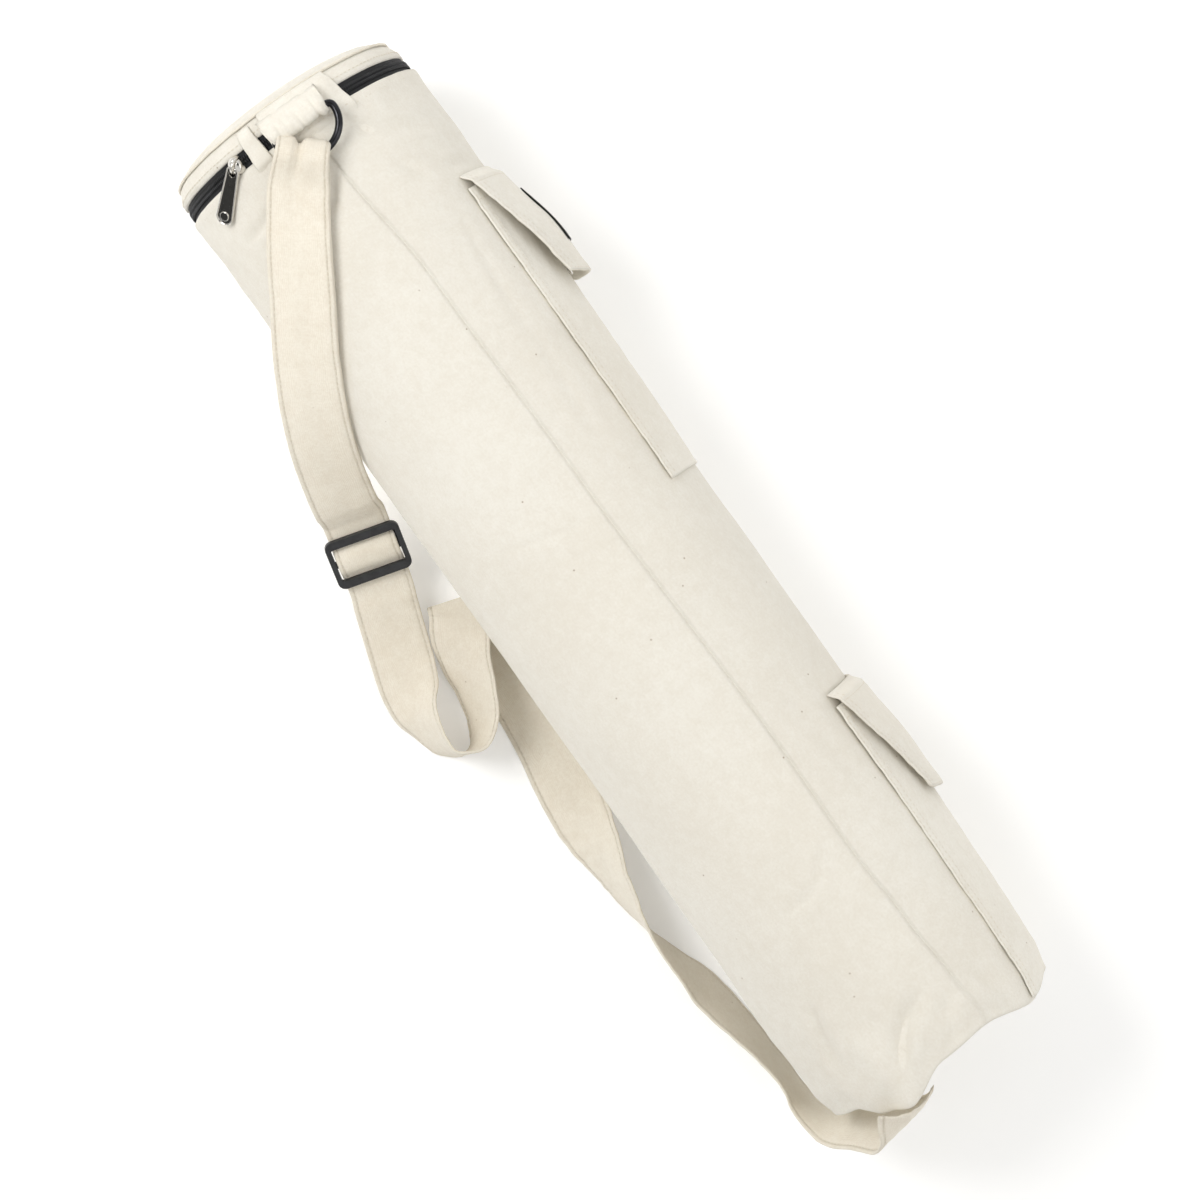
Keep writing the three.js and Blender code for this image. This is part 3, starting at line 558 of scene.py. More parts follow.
bag = {
    "length": 692, "radius": 82, "axis": 76.5, "wall": 2, "mouth": -323,
    "bottom": 346, "columns": 168, "rows": 250,
}
swelling = table(
    "at wide tall lean",
    (0.00, 0.985, 0.975, -0.02), (0.04, 1.000, 0.990, -0.01), (0.10, 0.995, 1.000, 0.00),
    (0.30, 1.000, 1.005, 0.00), (0.50, 0.992, 1.000, 0.00), (0.65, 0.990, 0.995, 0.00),
    (0.78, 1.005, 1.005, 0.00), (0.90, 1.000, 1.000, -0.01), (0.97, 0.985, 0.985, -0.01),
    (1.00, 0.945, 0.955, -0.01),
)
bottomRim = table(
    "around pull",
    (-180, 0), (-90, -4), (-57, -5.5), (-39, 4), (-28, 8), (-3, -5), (20, -7), (52, 1.5), (74, -3),
    (120, 0), (180, 0),
)
# where the long seam wanders on the top of the bag
longSeam = table(
    "at around",
    (-323, 4), (-293, 6.1), (-209, 11.2), (-60, 13), (134, 16.5), (209, 15.8), (262, 18.2),
    (303, 20.5), (346, 23),
)
# creases: place, half length and width, turn from the bag's length, and depth; each has a higher lip on
# one side
creases = table(
    "x around long wide turn depth",
    (-292, -32, 21, 3.2, -83, -1.7), (-294, 38, 24, 4.5, 69, -2.2), (-266, 33, 11, 4.0, 37, -1.1),
    (-257, 61, 18, 3.6, 87, -1.5), (-236, 38, 10, 3.0, 62, -0.8), (-226, 31.5, 6, 2.5, 63, -0.6),
    (-191, 35, 40, 3.0, -8, -0.8), (-120, 33, 60, 4.5, -4, -0.6), (-158, 25, 17, 2.2, 79, -0.5),
    (-45, -16, 29, 2.4, 75, -0.6), (-281, -1, 10, 3.0, -39, -2.4), (-306, 24, 9, 3.0, 50, -1.6),
    (206, 1, 12, 2.6, -44, -1.2), (217, -13, 12, 3.0, -86, -1.1), (318, -12, 26, 5.5, -52, -3.4),
    (291, -42, 19, 4.8, -17, -2.8), (262, -34, 24, 8.0, -30, -1.4), (316, -27, 18, 9.0, 0, 2.0),
    (330, 8, 15, 5.0, -20, -1.6), (326, 35, 20, 6.0, 25, -1.3), (60, -68, 70, 16, 6, -1.2),
    (150, 36, 50, 7.0, 5, -0.6),
)
perDegree = bag["radius"] * math.pi / 180


def creaseDepth(x, around):
    depth = 0.0
    for crease in creases:
        along, across = x - crease["x"], (around - crease["around"]) * perDegree
        if abs(along) > 120 or abs(across) > 80:
            continue
        angle = turn(crease["turn"])
        reach = (along * math.cos(angle) + across * math.sin(angle)) / crease["long"]
        aside = (across * math.cos(angle) - along * math.sin(angle)) / crease["wide"]
        if abs(reach) < 2.5:
            lip = (
                math.exp(-(aside * aside)) - 0.42 * math.exp(-((aside - 1.7) ** 2))
                - 0.2 * math.exp(-((aside + 1.9) ** 2))
            )
            depth += crease["depth"] * math.exp(-(reach ** 4)) * lip
    return depth


def wander(x, around):
    # soft unevenness of stuffed canvas, stronger near the mouth and the bottom
    arc = around * perDegree
    ends = 1 - ease(x, -300, -215) + ease(x, 235, 310)
    broad = 0.9 * ripple(x, arc, 115) + 0.55 * ripple(x, arc * 0.7, 48, 3)
    middling = (0.22 + 0.6 * ends) * ripple(x * 0.7, arc, 17, 7)
    small = (0.07 + 0.1 * ends) * ripple(x, arc, 6.5, 11)
    return broad + middling + small


def seamAt(x):
    return fromRows(longSeam, "at", x, "around")


def seamRelief(x, around):
    # a narrow groove with a pressed allowance beside it, puckered along its length
    aside = (around - seamAt(x)) * perDegree
    if abs(aside) > 26:
        return 0.0
    groove = -0.75 * bump(aside, 0, 0.75)
    allowance = 0.4 * ease(aside, 0.3, 1.0) * (1 - ease(aside, 7, 10))
    puckers = 0.42 * ripple(x, aside * 0.35, 8.5, 5) * bump(aside, 0, 7)
    return (groove + allowance + puckers) * (1 - 0.75 * ease(x, 280, 330))


def rimRelief(x, around):
    # the hem at the mouth and the sewn rim of the bottom
    arc = around * perDegree
    hem = (
        0.45 * (1 - ease(x, bag["mouth"] + 5.5, bag["mouth"] + 7.5))
        - 0.5 * bump(x, bag["mouth"] + 5.2, 0.9)
    )
    fromRim = bag["bottom"] + fromRows(bottomRim, "around", around, "pull") - x
    stitched = -0.35 * bump(fromRim, 6, 1.6) - 0.7 * (1 - ease(fromRim, 0, 5))
    gathers = (
        0.7 * ripple(arc, x * 0.25, 7, 13) * (bump(fromRim, 4, 16) + 0.6 * bump(x, bag["mouth"] + 3, 14))
    )
    return hem + stitched + gathers


def bagPoint(x, around, lift=0.0, detail=True):
    share = min(max(x / bag["length"] + 0.5, 0), 1)
    relief = lift
    if detail:
        low = 1 - ease(abs(around), 100, 138)
        relief += (
            low * (creaseDepth(x, around) + wander(x, around) + seamRelief(x, around))
            + (0.25 + 0.75 * low) * rimRelief(x, around)
        )
    wide = bag["radius"] * fromRows(swelling, "at", share, "wide") + relief
    tall = bag["radius"] * fromRows(swelling, "at", share, "tall") + relief
    lean = bag["radius"] * fromRows(swelling, "at", share, "lean")
    angle = turn(around)
    pulled = fromRows(bottomRim, "around", around, "pull") * ease(share, 0.90, 1)
    height = bag["axis"] + tall * math.cos(angle)
    return Vector((x + pulled, lean + wide * math.sin(angle), max(height, -lift, 0.2)))


def bagOut(around):
    return Vector((0, math.sin(turn(around)), math.cos(turn(around))))


def skinFrame(x, around, lift=0.0):
    # X round the bag, Y towards the lid and Z straight out, in millimetres
    angle = turn(around)
    axes = Matrix(
        ((0, math.cos(angle), -math.sin(angle)), (-1, 0, 0), (0, math.sin(angle), math.cos(angle)))
    )
    return Matrix.Translation(bagPoint(x, around, lift, False)) @ axes.transposed().to_4x4()


def tubeColumns():
    seamHome = 14.0
    fine = [seamHome + step for step in (-1.5, -1.0, -0.6, -0.3, 0, 0.3, 0.6, 1.0, 1.5)]
    rest = [around for around in evenSteps(-180, 180, bag["columns"]) if abs(around - seamHome) > 1.9]
    return seamHome, sorted(fine + rest)


def makeTube():
    seamHome, columns = tubeColumns()
    wall = bag["wall"]
    outer = evenSteps(bag["mouth"] + 1.2, bag["bottom"] - 1.5, bag["rows"])
    profile = [(x, 0.0) for x in outer]
    profile += [(bag["bottom"] - 0.4, -0.45), (bag["bottom"], -1.2), (bag["bottom"] - 0.5, -wall)]
    profile += [(x, -wall) for x in evenSteps(bag["bottom"] - 7, bag["mouth"] + 12, 8)]
    profile += [
        (bag["mouth"] + 0.5, -wall), (bag["mouth"], -1.1), (bag["mouth"] + 0.35, -0.4),
        (bag["mouth"] + 1.2, 0.0)
    ]

    def place(across, along):
        x, lift = profile[round(along * (len(profile) - 1))]
        home = columns[round(across * (len(columns) - 1))]
        follow = max(0.0, 1 - abs(home - seamHome) / 70) ** 2
        around = home + (seamAt(x) - seamHome) * follow
        return bagPoint(x, around, lift)

    cloth = clothGrid(len(columns) - 1, len(profile) - 1, (515, 2 * 676), place)
    ob = finishPiece(cloth, "tubeCanvas", canvas, ["body_tube"])


makeTube()
print("tube made")


# the lid: a band that leans in, a raised welt and a soft domed top
lid = {"columns": 168, "weltX": -345.4, "weltShare": 0.954, "weltTall": 0.75, "weltWide": 0.9}
lidProfile = table(
    "x share",
    (-334.0, 0.955), (-333.2, 0.960), (-333.0, 0.978), (-333.6, 0.990), (-336.0, 0.990),
    (-340.0, 0.978), (-343.4, 0.957), (-344.3, 0.944), (-345.2, 0.946), (-346.2, 0.936),
    (-346.9, 0.920), (-348.4, 0.895), (-350.6, 0.840), (-352.6, 0.760), (-354.2, 0.650),
    (-355.4, 0.500), (-356.2, 0.330), (-356.6, 0.160), (-356.7, 0.000), (-355.1, 0.000),
    (-354.6, 0.330), (-352.6, 0.640), (-348.6, 0.850), (-344.0, 0.925), (-338.0, 0.950),
    (-334.0, 0.955),
)


def lidPoint(x, share, around, lift=0.0):
    rim = bagPoint(x, around, 0, False)
    middle = Vector((x, 0, bag["axis"]))
    arc = around * perDegree
    soft = 0.9 * ripple(x * 2, arc, 26, 21) + 0.35 * ripple(x * 2, arc, 7, 22)
    seam = 0.5 * ripple(arc, 0, 5, 23) * bump(x, -345, 3)
    spot = middle + (rim - middle) * share
    spot += (
        bagOut(around) * ((soft + seam) * min(1, share * 1.6) * (1 - ease(abs(around), 100, 140)) + lift)
    )
    spot.z = max(spot.z, 0.2)
    return spot


def makeLid():
    rows = len(lidProfile) - 1

    def place(across, along):
        row = lidProfile[round(along * rows)]
        return lidPoint(row["x"], row["share"], mix(-180, 180, across))

    cloth = clothGrid(lid["columns"], rows, (515, 210), place)
    ob = finishPiece(cloth, "lidCanvas", canvas, ["lid_band", "lid_top"])

    def welt(across, along):
        angle = turn(mix(0, 360, across))
        around = mix(-180, 180, along)
        spot = lidPoint(lid["weltX"], lid["weltShare"], around)
        spot += bagOut(around) * lid["weltTall"] * math.cos(angle)
        return spot + Vector((lid["weltWide"] * math.sin(angle), 0, 0))

    finishPiece(clothGrid(8, 260, (5, 500), welt), "lidWelt", thread)


makeLid()
print("lid made")


# the zip: one black tape under both edges, and a coil of teeth on it
zipParts = {
    "lift": -2.3, "centre": -328, "chainRadius": 79,
    "toothPitch": 1.5, "toothLong": 3.0, "toothWide": 1.15, "toothTall": 1.5,
}


def makeZip():
    section = [
        (-336.5, 0), (-334, 0.05), (-331.6, 0.1), (-330.9, -0.1), (-325.1, -0.1), (-324.4, 0.1),
        (-321, 0.05), (-319.5, 0), (-319.5, -1), (-336.5, -1), (-336.5, 0),
    ]

    def place(across, along):
        x, rise = section[round(along * (len(section) - 1))]
        around = mix(-180, 180, across)
        uneven = 0.15 * ripple(90 * math.cos(turn(around)), x, 9)
        return bagPoint(x, around, zipParts["lift"] + rise + uneven, False)

    cloth = clothGrid(180, len(section) - 1, (515, 32), place)
    ob = finishPiece(cloth, "zipTapes", blackTape, ["zip_tape"])
    tooth = bmesh.new()
    bmesh.ops.create_uvsphere(tooth, u_segments=8, v_segments=6, radius=0.5)
    size = Vector((zipParts["toothLong"], zipParts["toothWide"], zipParts["toothTall"]))
    bmesh.ops.scale(tooth, vec=size * millimetre, verts=tooth.verts)
    count = round(2 * math.pi * zipParts["chainRadius"] / zipParts["toothPitch"])
    places = []
    for step in range(count):
        for side in (-1, 1):
            around = -180 + 360 * (step + side / 4) / count
            spot = bagPoint(zipParts["centre"] + side * 1.25, around, zipParts["lift"] + 0.55, False)
            ahead = Vector((1, 0, 0))
            ahead += bagOut(around).cross(ahead) * 0.12 * side
            places.append(frameOf(spot, ahead, bagOut(around)))
    finishPiece(copyAlong(tooth, places), "zipCoil", nylon, ["zip_chain"])


makeZip()
print("zip made")


# cloth over the zip: the lid's hinge under the ring tab, and the patch over the zip's two ends
covers = {
    "hinge": {"x": (-345, -312), "around": (-10, 27.5), "lift": 0.9, "slant": 3.5},
    "endPatch": {"x": (-343, -314), "around": (-21.5, -13.5), "lift": 0.8, "slant": 1.6},
}
coverCloth = {"thick": 1.1, "rows": 26, "sag": 0.9, "leanIn": 0.5, "sunk": 2.6}


def makeCover(name, replaced):
    cover = covers[name]
    length = cover["x"][1] - cover["x"][0]
    width = (cover["around"][1] - cover["around"][0]) * perDegree

    def surface(across, along):
        x = mix(*cover["x"], along)
        around = mix(*cover["around"], across) + cover["slant"] * (along - 0.5) * mix(-0.6, 1, across)
        arc = around * perDegree
        sag = -coverCloth["sag"] * bump(x, zipParts["centre"], 4)
        crease = 0.55 * ripple(arc, x * 0.35, 5, 31) + 0.3 * ripple(x, arc, 6, 32)
        leanIn = -coverCloth["leanIn"] * ease(-x, 335, 343)
        sunk = -coverCloth["sunk"] * (1 - ease(min(along, 1 - along), 0.0, 0.2))
        return bagPoint(x, around, cover["lift"] + sag + crease + leanIn + sunk, False), bagOut(around)

    cloth = layered(
        max(8, round(width / 1.1)), coverCloth["rows"], (width, length), surface, coverCloth["thick"]
    )
    ob = finishPiece(cloth, name, canvas, replaced)


makeCover("hinge", [])
makeCover("endPatch", ["zip_end_patch"])
print("covers made")


# the D ring and the gathered tab that holds it
ring = {
    "wire": 4.6, "inside": 36, "depth": 22, "corner": 3.5, "around": 4.9, "barX": -325, "lift": 6.4,
    "tabWidth": 42, "tabShift": -2.5, "roll": 4.3
}
ringPlace = skinFrame(ring["barX"], ring["around"], ring["lift"])
ringHalf = (ring["inside"] + ring["wire"]) / 2


def ringPath():
    corner, half = ring["corner"], ringHalf
    path = [Vector((mix(-half + corner, half - corner, step / 12), 0, 0)) for step in range(13)]
    bow = [
        Vector(
            (half * math.cos(turn(angle)), -corner - (ring["depth"] - corner) * math.sin(turn(angle)), 0)
        )
        for angle in evenSteps(0, 180, 48)
    ]

    def bend(start, middle, end):
        return [
            start.lerp(middle, share).lerp(middle.lerp(end, share), share)
            for share in evenSteps(0.15, 0.85, 5)
        ]

    right, left = Vector((half, 0, 0)), Vector((-half, 0, 0))
    return path + bend(path[-1], right, bow[0]) + bow + bend(bow[-1], left, path[0])


def makeRing():
    path = ringPath()
    size = len(path)

    def place(across, along):
        step = round(along * size) % size
        ahead = (path[(step + 1) % size] - path[step - 1]).normalized()
        angle = turn(360 * across)
        side = Vector((-ahead.y, ahead.x, 0))
        return ringPlace @ (
            path[step] + (side * math.cos(angle) + Vector((0, 0, 1)) * math.sin(angle)) * ring["wire"] / 2
        )

    finishPiece(clothGrid(20, size, (14, 110), place), "dRing", blackMetal, ["d_ring"])


def makeTab():
    # over the bar, round it and back under itself, gathered where it is folded
    roll = ring["roll"]
    rows = [(-15, -6.6), (-12.5, -4.9), (-10, -3.6), (-8, -2.0), (-6, 0.4), (-4, 2.6)]
    rows += [
        (roll * math.cos(turn(angle)), roll * math.sin(turn(angle))) for angle in evenSteps(115, -80, 16)
    ]
    rows += [(-3, -4.4), (-8, -5.6), (-12, -6.8), (-14.5, -7.4), (-15, -6.6)]
    count = len(rows) - 1

    def place(across, along):
        forward, rise = rows[round(along * count)]
        u = 2 * across - 1
        near = ease(forward, -16, -1)
        squeeze = 1 - 0.06 * near * bump(forward, 0, 8) + 0.035 * ripple(forward, 0, 4, 41)
        side = u * ring["tabWidth"] / 2 * squeeze
        puckers = (
            (0.35 + 0.95 * near) * ripple(side, forward * 0.28, 3.6, 42)
            + 0.5 * ripple(side, forward, 7, 43)
        )
        puckers += (
            near
            * (
                1.5 * bump(u, 0.8, 0.09) - 1.5 * bump(u, 0.64, 0.06) - 0.9 * bump(u, -0.55, 0.08)
                - 0.8 * bump(u, 0.1, 0.06)
            )
        )
        out = Vector((0, -forward, rise + 1)).normalized()
        fullness = math.sqrt(max(0.0, 1 - abs(u) ** 14))
        side += ring["tabShift"]
        spot = Vector(
            (
                side, -forward,
                rise * (0.35 + 0.65 * fullness) - side * side / (2 * bag["radius"]) * (1 - 0.7 * near)
            )
        )
        # the first and the last row meet at the tail, so that only the two ends are left to fill
        return ringPlace @ (spot + out * puckers * (ease(along, 0, 0.05) if along < 0.78 else 0))

    tab = clothGrid(72, count, (ring["tabWidth"], 60), place)
    bmesh.ops.holes_fill(tab, edges=[edge for edge in tab.edges if edge.is_boundary], sides=0)
    bmesh.ops.recalc_face_normals(tab, faces=tab.faces)
    ob = finishPiece(tab, "ringTab", canvas, ["ring_tab"])


makeRing()
makeTab()
print("ring and tab made")


# the shoulder strap's way, as shares of the bag's length and radius: above is the height of its
# lower edge, across the compass angle of its width, lean its slope and spread its gathered width
strapRun = table(
    "along aside above across lean spread",
    (-0.452, -0.070, 2.000, 55, -2, 0.80), (-0.424, -0.222, 1.960, 55, 5, 0.92),
    (-0.384, -0.465, 1.830, 55, 11, 0.98), (-0.349, -0.655, 1.735, 57, 13, 1),
    (-0.314, -0.850, 1.640, 59, 12, 1), (-0.277, -1.030, 1.490, 63, 10, 1),
    (-0.239, -1.180, 1.220, 69, 8, 1), (-0.196, -1.298, 0.820, 73, 5, 1),
    (-0.172, -1.335, 0.590, 74, 2, 1), (-0.149, -1.385, 0.450, 73, 0, 1),
    (-0.120, -1.455, 0.340, 71, 0, 1), (-0.088, -1.555, 0.220, 70, 0, 1),
    (-0.053, -1.660, 0.110, 70, 6, 1), (-0.026, -1.735, 0.050, 74, 22, 1),
    (0.002, -1.790, 0.012, 86, 55, 1), (0.029, -1.780, 0.010, 112, 70, 1),
    (0.047, -1.700, 0.010, 150, 86, 1), (0.048, -1.555, 0.012, 60, 70, 1),
    (0.032, -1.415, 0.020, 68, 58, 1), (0.006, -1.325, 0.040, 74, 48, 1),
    (-0.021, -1.260, 0.090, 76, 34, 1), (-0.044, -1.170, 0.170, 74, 12, 1),
    (-0.058, -1.085, 0.185, 72, 0, 1), (-0.069, -1.050, 0.105, 72, 0, 1),
    (-0.059, -1.070, 0.020, 72, 0, 1), (-0.030, -1.095, 0.004, 76, 0, 1),
    (0.038, -1.090, 0.004, 86, 0, 1), (0.077, -1.120, 0.004, 80, 0, 1),
    (0.122, -1.190, 0.004, 82, 4, 1), (0.154, -1.230, 0.004, 86, 16, 1),
    (0.186, -1.260, 0.004, 90, 40, 1), (0.214, -1.285, 0.004, 92, 60, 1),
    (0.246, -1.315, 0.004, 95, 74, 1), (0.282, -1.310, 0.004, -60, 88, 1),
    (0.317, -1.265, 0.004, -84, 74, 1), (0.352, -1.215, 0.004, -86, 60, 1),
    (0.387, -1.170, 0.020, -86, 64, 1), (0.420, -1.130, 0.060, -86, 72, 1),
    (0.445, -1.105, 0.100, -84, 74, 1), (0.478, -1.090, 0.180, -70, 72, 1),
    (0.504, -0.985, 0.400, -50, 66, 1), (0.518, -0.780, 0.830, -64, 50, 1),
    (0.525, -0.660, 1.180, -72, 26, 1), (0.524, -0.540, 1.500, -80, -8, 1),
    (0.511, -0.450, 1.750, -80, -26, 1),
)
strap = {
    "width": 40, "thick": 2.0, "perRow": 9, "buckleRow": 9, "hang": -38, "endAround": -28, "resting": 6,
    "clear": 3.65, "layerStep": 2.7, "stitchLine": 0.86,
}
buckle = {"wide": 34, "longBar": 5.5, "centreBar": 4}


def curveAt(points, row):
    # a smooth way through chosen places, with even speed between near and far ones
    low = min(max(int(row), 0), len(points) - 2)
    share = row - low
    first, second = points[low], points[low + 1]
    before = points[low - 1] if low else first * 2 - second
    after = points[low + 2] if low + 2 < len(points) else second * 2 - first
    gaps = [
        max((end - start).length ** 0.5, 1e-4) for start,
        end in ((before, first), (first, second), (second, after))
    ]
    leave = (
        (
            (first - before) / gaps[0] - (second - before) / (gaps[0] + gaps[1])
            + (second - first) / gaps[1]
        )
        * gaps[1]
    )
    reach = (
        ((second - first) / gaps[1] - (after - first) / (gaps[1] + gaps[2]) + (after - second) / gaps[2])
        * gaps[1]
    )
    square, cube = share * share, share ** 3
    return (
        first + leave * share + (second * 3 - first * 3 - leave * 2 - reach) * square
        + (first * 2 - second * 2 + leave + reach) * cube
    )


def bagHeight(x, y):
    share = min(max(x / bag["length"] + 0.5, 0), 1)
    wide = bag["radius"] * fromRows(swelling, "at", share, "wide")
    sine = (y - bag["radius"] * fromRows(swelling, "at", share, "lean")) / wide
    return bagPoint(x, math.degrees(math.asin(sine)), 0, False).z if abs(sine) < 1 else 0


def strapPlaces():
    places, widths = [], []
    for row in strapRun:
        lean, across, half = turn(row["lean"]), turn(row["across"]), strap["width"] * row["spread"] / 2
        rise = abs(math.sin(lean)) * half + strap["thick"] / 2 * math.cos(lean) + 0.15
        places.append(
            Vector(
                (
                    row["along"] * bag["length"], row["aside"] * bag["radius"],
                    row["above"] * bag["radius"] + rise
                )
            )
        )
        widths.append(
            Vector((math.cos(across) * math.cos(lean), math.sin(across) * math.cos(lean), math.sin(lean)))
        )
    for spot, width, row in list(zip(places, widths, strapRun))[1:strap["resting"] + 1]:
        heights = []
        for side in evenSteps(-0.5, 0.5, 8):
            at = spot + width * (side * strap["width"] * row["spread"])
            heights.append(bagHeight(at.x, at.y) - side * strap["width"] * row["spread"] * width.z)
        spot.z = max(heights) + 6.8
    hang = turn(strap["hang"])
    wire = ringPlace @ Vector(
        (
            ringHalf * math.sin(hang),
            -ring["corner"] - (ring["depth"] - ring["corner"]) * math.cos(hang), 0
        )
    )
    places[0] = wire + Vector((0, 0, strap["clear"]))
    places[-1] = bagPoint(bag["bottom"], strap["endAround"], -1, False) + Vector((2.0, 0, 0))
    return places, widths, wire


strapLine, strapWidths, wirePlace = strapPlaces()


def strapSection(row):
    spot = curveAt(strapLine, row)
    ahead = (curveAt(strapLine, row + 0.02) - curveAt(strapLine, row - 0.02)).normalized()
    width = curveAt(strapWidths, row)
    width = (width - ahead * ahead.dot(width)).normalized()
    low = min(max(int(row), 0), len(strapRun) - 2)
    spread = mix(strapRun[low]["spread"], strapRun[low + 1]["spread"], min(max(row - low, 0), 1))
    return {
        "row": row, "spot": spot, "ahead": ahead, "width": width, "out": ahead.cross(width),
        "half": spread * strap["width"] / 2
    }


buckleHome = strapSection(strap["buckleRow"])


def throughBuckle(section, lower):
    # straight at the buckle, under its long bars and over its centre bar
    reach = (section["spot"] - buckleHome["spot"]).dot(buckleHome["ahead"])
    straight = 1 - ease(abs(reach), buckle["wide"] * 0.6, buckle["wide"] * 1.1)
    section["spot"] = section["spot"].lerp(buckleHome["spot"] + buckleHome["ahead"] * reach, straight)
    section["width"] = section["width"].lerp(buckleHome["width"], straight).normalized()
    section["out"] = section["out"].lerp(buckleHome["out"], straight).normalized()
    inner = buckle["wide"] / 2 - buckle["longBar"] - 0.35
    hump = 1 - ease(abs(reach), buckle["centreBar"] * 0.65, inner)
    section["spot"] = section["spot"] + section["out"] * hump * (strap["layerStep"] if lower else 4.7)
    return section


def strapPath():
    last, fine = len(strapRun) - 1, strap["perRow"]
    under = []
    for row in evenSteps(strap["buckleRow"], 0, strap["buckleRow"] * fine):
        section = throughBuckle(strapSection(row), True)
        drop = mix(strap["layerStep"], 2 * strap["clear"], 1 - ease(row, 0.25, 1.2))
        section["spot"] = section["spot"] - section["out"] * drop
        section["row"] = -row
        under.append(section)
    over = [throughBuckle(strapSection(row), False) for row in evenSteps(0, last, last * fine)]
    home = strapSection(0)
    out = ringPlace.to_3x3() @ Vector((0, 0, 1))
    ahead = (home["ahead"] - out * out.dot(home["ahead"])).normalized()
    bend = []
    for angle in evenSteps(-90, 90, 12):
        spot = (
            wirePlace + out * math.sin(turn(angle)) * strap["clear"]
            - ahead * (math.cos(turn(angle)) * strap["clear"] + 4.4)
        )
        bend.append(
            {**home, "row": 0, "spot": spot, "out": out, "ahead": ahead, "width": out.cross(ahead)}
        )
    path = under + bend + over
    for before, section, after in zip([path[0]] + path, path, path[1:] + [path[-1]]):
        ahead = (after["spot"] - before["spot"]).normalized()
        section["width"] = (section["width"] - ahead * ahead.dot(section["width"])).normalized()
        section["face"] = ahead.cross(section["width"])
    walked = 0.0
    for before, section in zip([path[0]] + path, path):
        walked += (section["spot"] - before["spot"]).length
        section["walked"] = walked
    return path


def strapRelief(section, u):
    # gathers over the ring, light creases, a wavy edge and a curl before the turn
    row, walked = section["row"], section["walked"]
    over, soft = 1 - ease(abs(row), 0.1, 0.9), 1 - ease(abs(row), 0.3, 3.0)
    gather = (
        over * (2.6 - 3.1 * bump(u, -0.15, 0.13) - 1.6 * u ** 4) + soft * (
            0.5 - 1.3 * bump(u, -0.12, 0.22)
        )
        if row >= 0 else 0
    )
    gather += 1.1 * soft * ripple(u * 3, walked * 0.03, 1, 51)
    above = bump(row, 7.7, 0.75) + 0.5 * bump(row, 10.6, 0.8)
    creases = above * 0.75 * ripple(walked, u * 1.2, 4.6, 52) + 0.35 * ripple(walked * 0.6, u * 8, 7, 53)
    cross = (
        0.5 * bump(row, 12.3, 0.09) + 0.7 * bump(row, 29.2, 0.1) + 0.6 * bump(row, 31.2, 0.12)
        - 0.6 * bump(row, 30.1, 0.1)
    )
    edge = u * u * (0.7 * ripple(walked, u, 15, 54) + 0.4 * ripple(walked, u, 6, 55))
    curl = 2.2 * ease(-u, 0.1, 1) * bump(row, 13.2, 1.6) if row > 0 else 0
    quiet = 1 - 0.85 * bump(abs(row), strap["buckleRow"], 0.9)
    sewn = (
        -(7.5 * u * u + 0.8 * ripple(u * 20, 0, 4, 57))
        * ease(row, len(strapRun) - 3.2, len(strapRun) - 1)
    )
    return quiet * (creases + edge + cross) + gather + curl + sewn


strapRoute = strapPath()


def strapPoint(section, u, side=0.0):
    lift = strapRelief(section, u)
    half = section["half"] * (1 + 0.012 * ripple(section["walked"], 0, 11, 56))
    return (
        section["spot"] + section["width"] * (u * half)
        + section["face"] * (lift + side * strap["thick"] / 2)
    )


def makeStrap():
    shares = [-1.0, -0.985, -0.95, -0.9, -0.875, -0.86, -0.845, -0.82, -0.7, -0.5, -0.35, -0.2, -0.1, 0]
    puffs = [0.0, 0.62, 0.95, 1.0, 0.72, 0.5, 0.72, 0.95, 1.0, 1.0, 1.0, 1.0, 1.0, 1.0]
    top = (
        list(zip(shares, puffs))
        + [(-share, puff) for share, puff in reversed(list(zip(shares, puffs))[:-1])]
    )
    loop = (
        [(share, puff) for share, puff in top] + [(share, -puff) for share, puff in reversed(top[1:-1])]
        + [top[0]]
    )
    size, count = len(loop) - 1, len(strapRoute) - 1
    long = strapRoute[-1]["walked"]

    def place(across, along):
        section = strapRoute[round(along * count)]
        share, puff = loop[round(across * size)]
        return strapPoint(section, share, puff if 0 < round(along * count) < count else 0)

    ob = finishPiece(
        clothGrid(size, count, (80, long), place), "strapCanvas", strapCloth,
        ["shoulder_strap"]
    )
    lines = []
    for side in (-1, 1):
        for face in (-1, 1):
            lines.append(
                [
                    (strapPoint(section, side * strap["stitchLine"], face * 0.9), section["face"] * face)
                    for section in strapRoute
                ]
            )
    sew("strapStitches", lines)


makeStrap()
print("strap made")

# the buckle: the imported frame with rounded, slightly worn edges
finishPiece(roundedCopy("strap_buckle", 0.75), "slideBuckle", plastic, ["strap_buckle"])
print("buckle made")


# the pockets and their flaps, sewn on the side that faces away from the strap
pocketLook = {
    "around": 90, "span": 80, "tip": 44, "cloth": 1.6, "flapCloth": 2.0, "slack": 2.5, "gap": 0.8,
    "flap": 86, "lap": 9, "hem": 6.5,
}
pockets = {
    "upper": {"top": -240, "length": 210, "lift": 9, "seed": 61},
    "lower": {"top": 137, "length": 207, "lift": 3, "seed": 67},
}


def pocketRise(along, across):
    return pocketLook["gap"] + pocketLook["slack"] * (1 - 4 * across * across) * (1 - along * along)


def flapRise(lift, along, across):
    over = ease(along, 0, pocketLook["lap"] / pocketLook["flap"] * 0.9)
    raised = lift * math.sin(math.pi * min(max(along * 0.72, 0), 0.5)) ** 2 * (1 - 2 * across * across)
    return (
        pocketLook["gap"] + over * (pocketLook["cloth"] + pocketLook["slack"] + pocketLook["gap"])
        + raised
    )


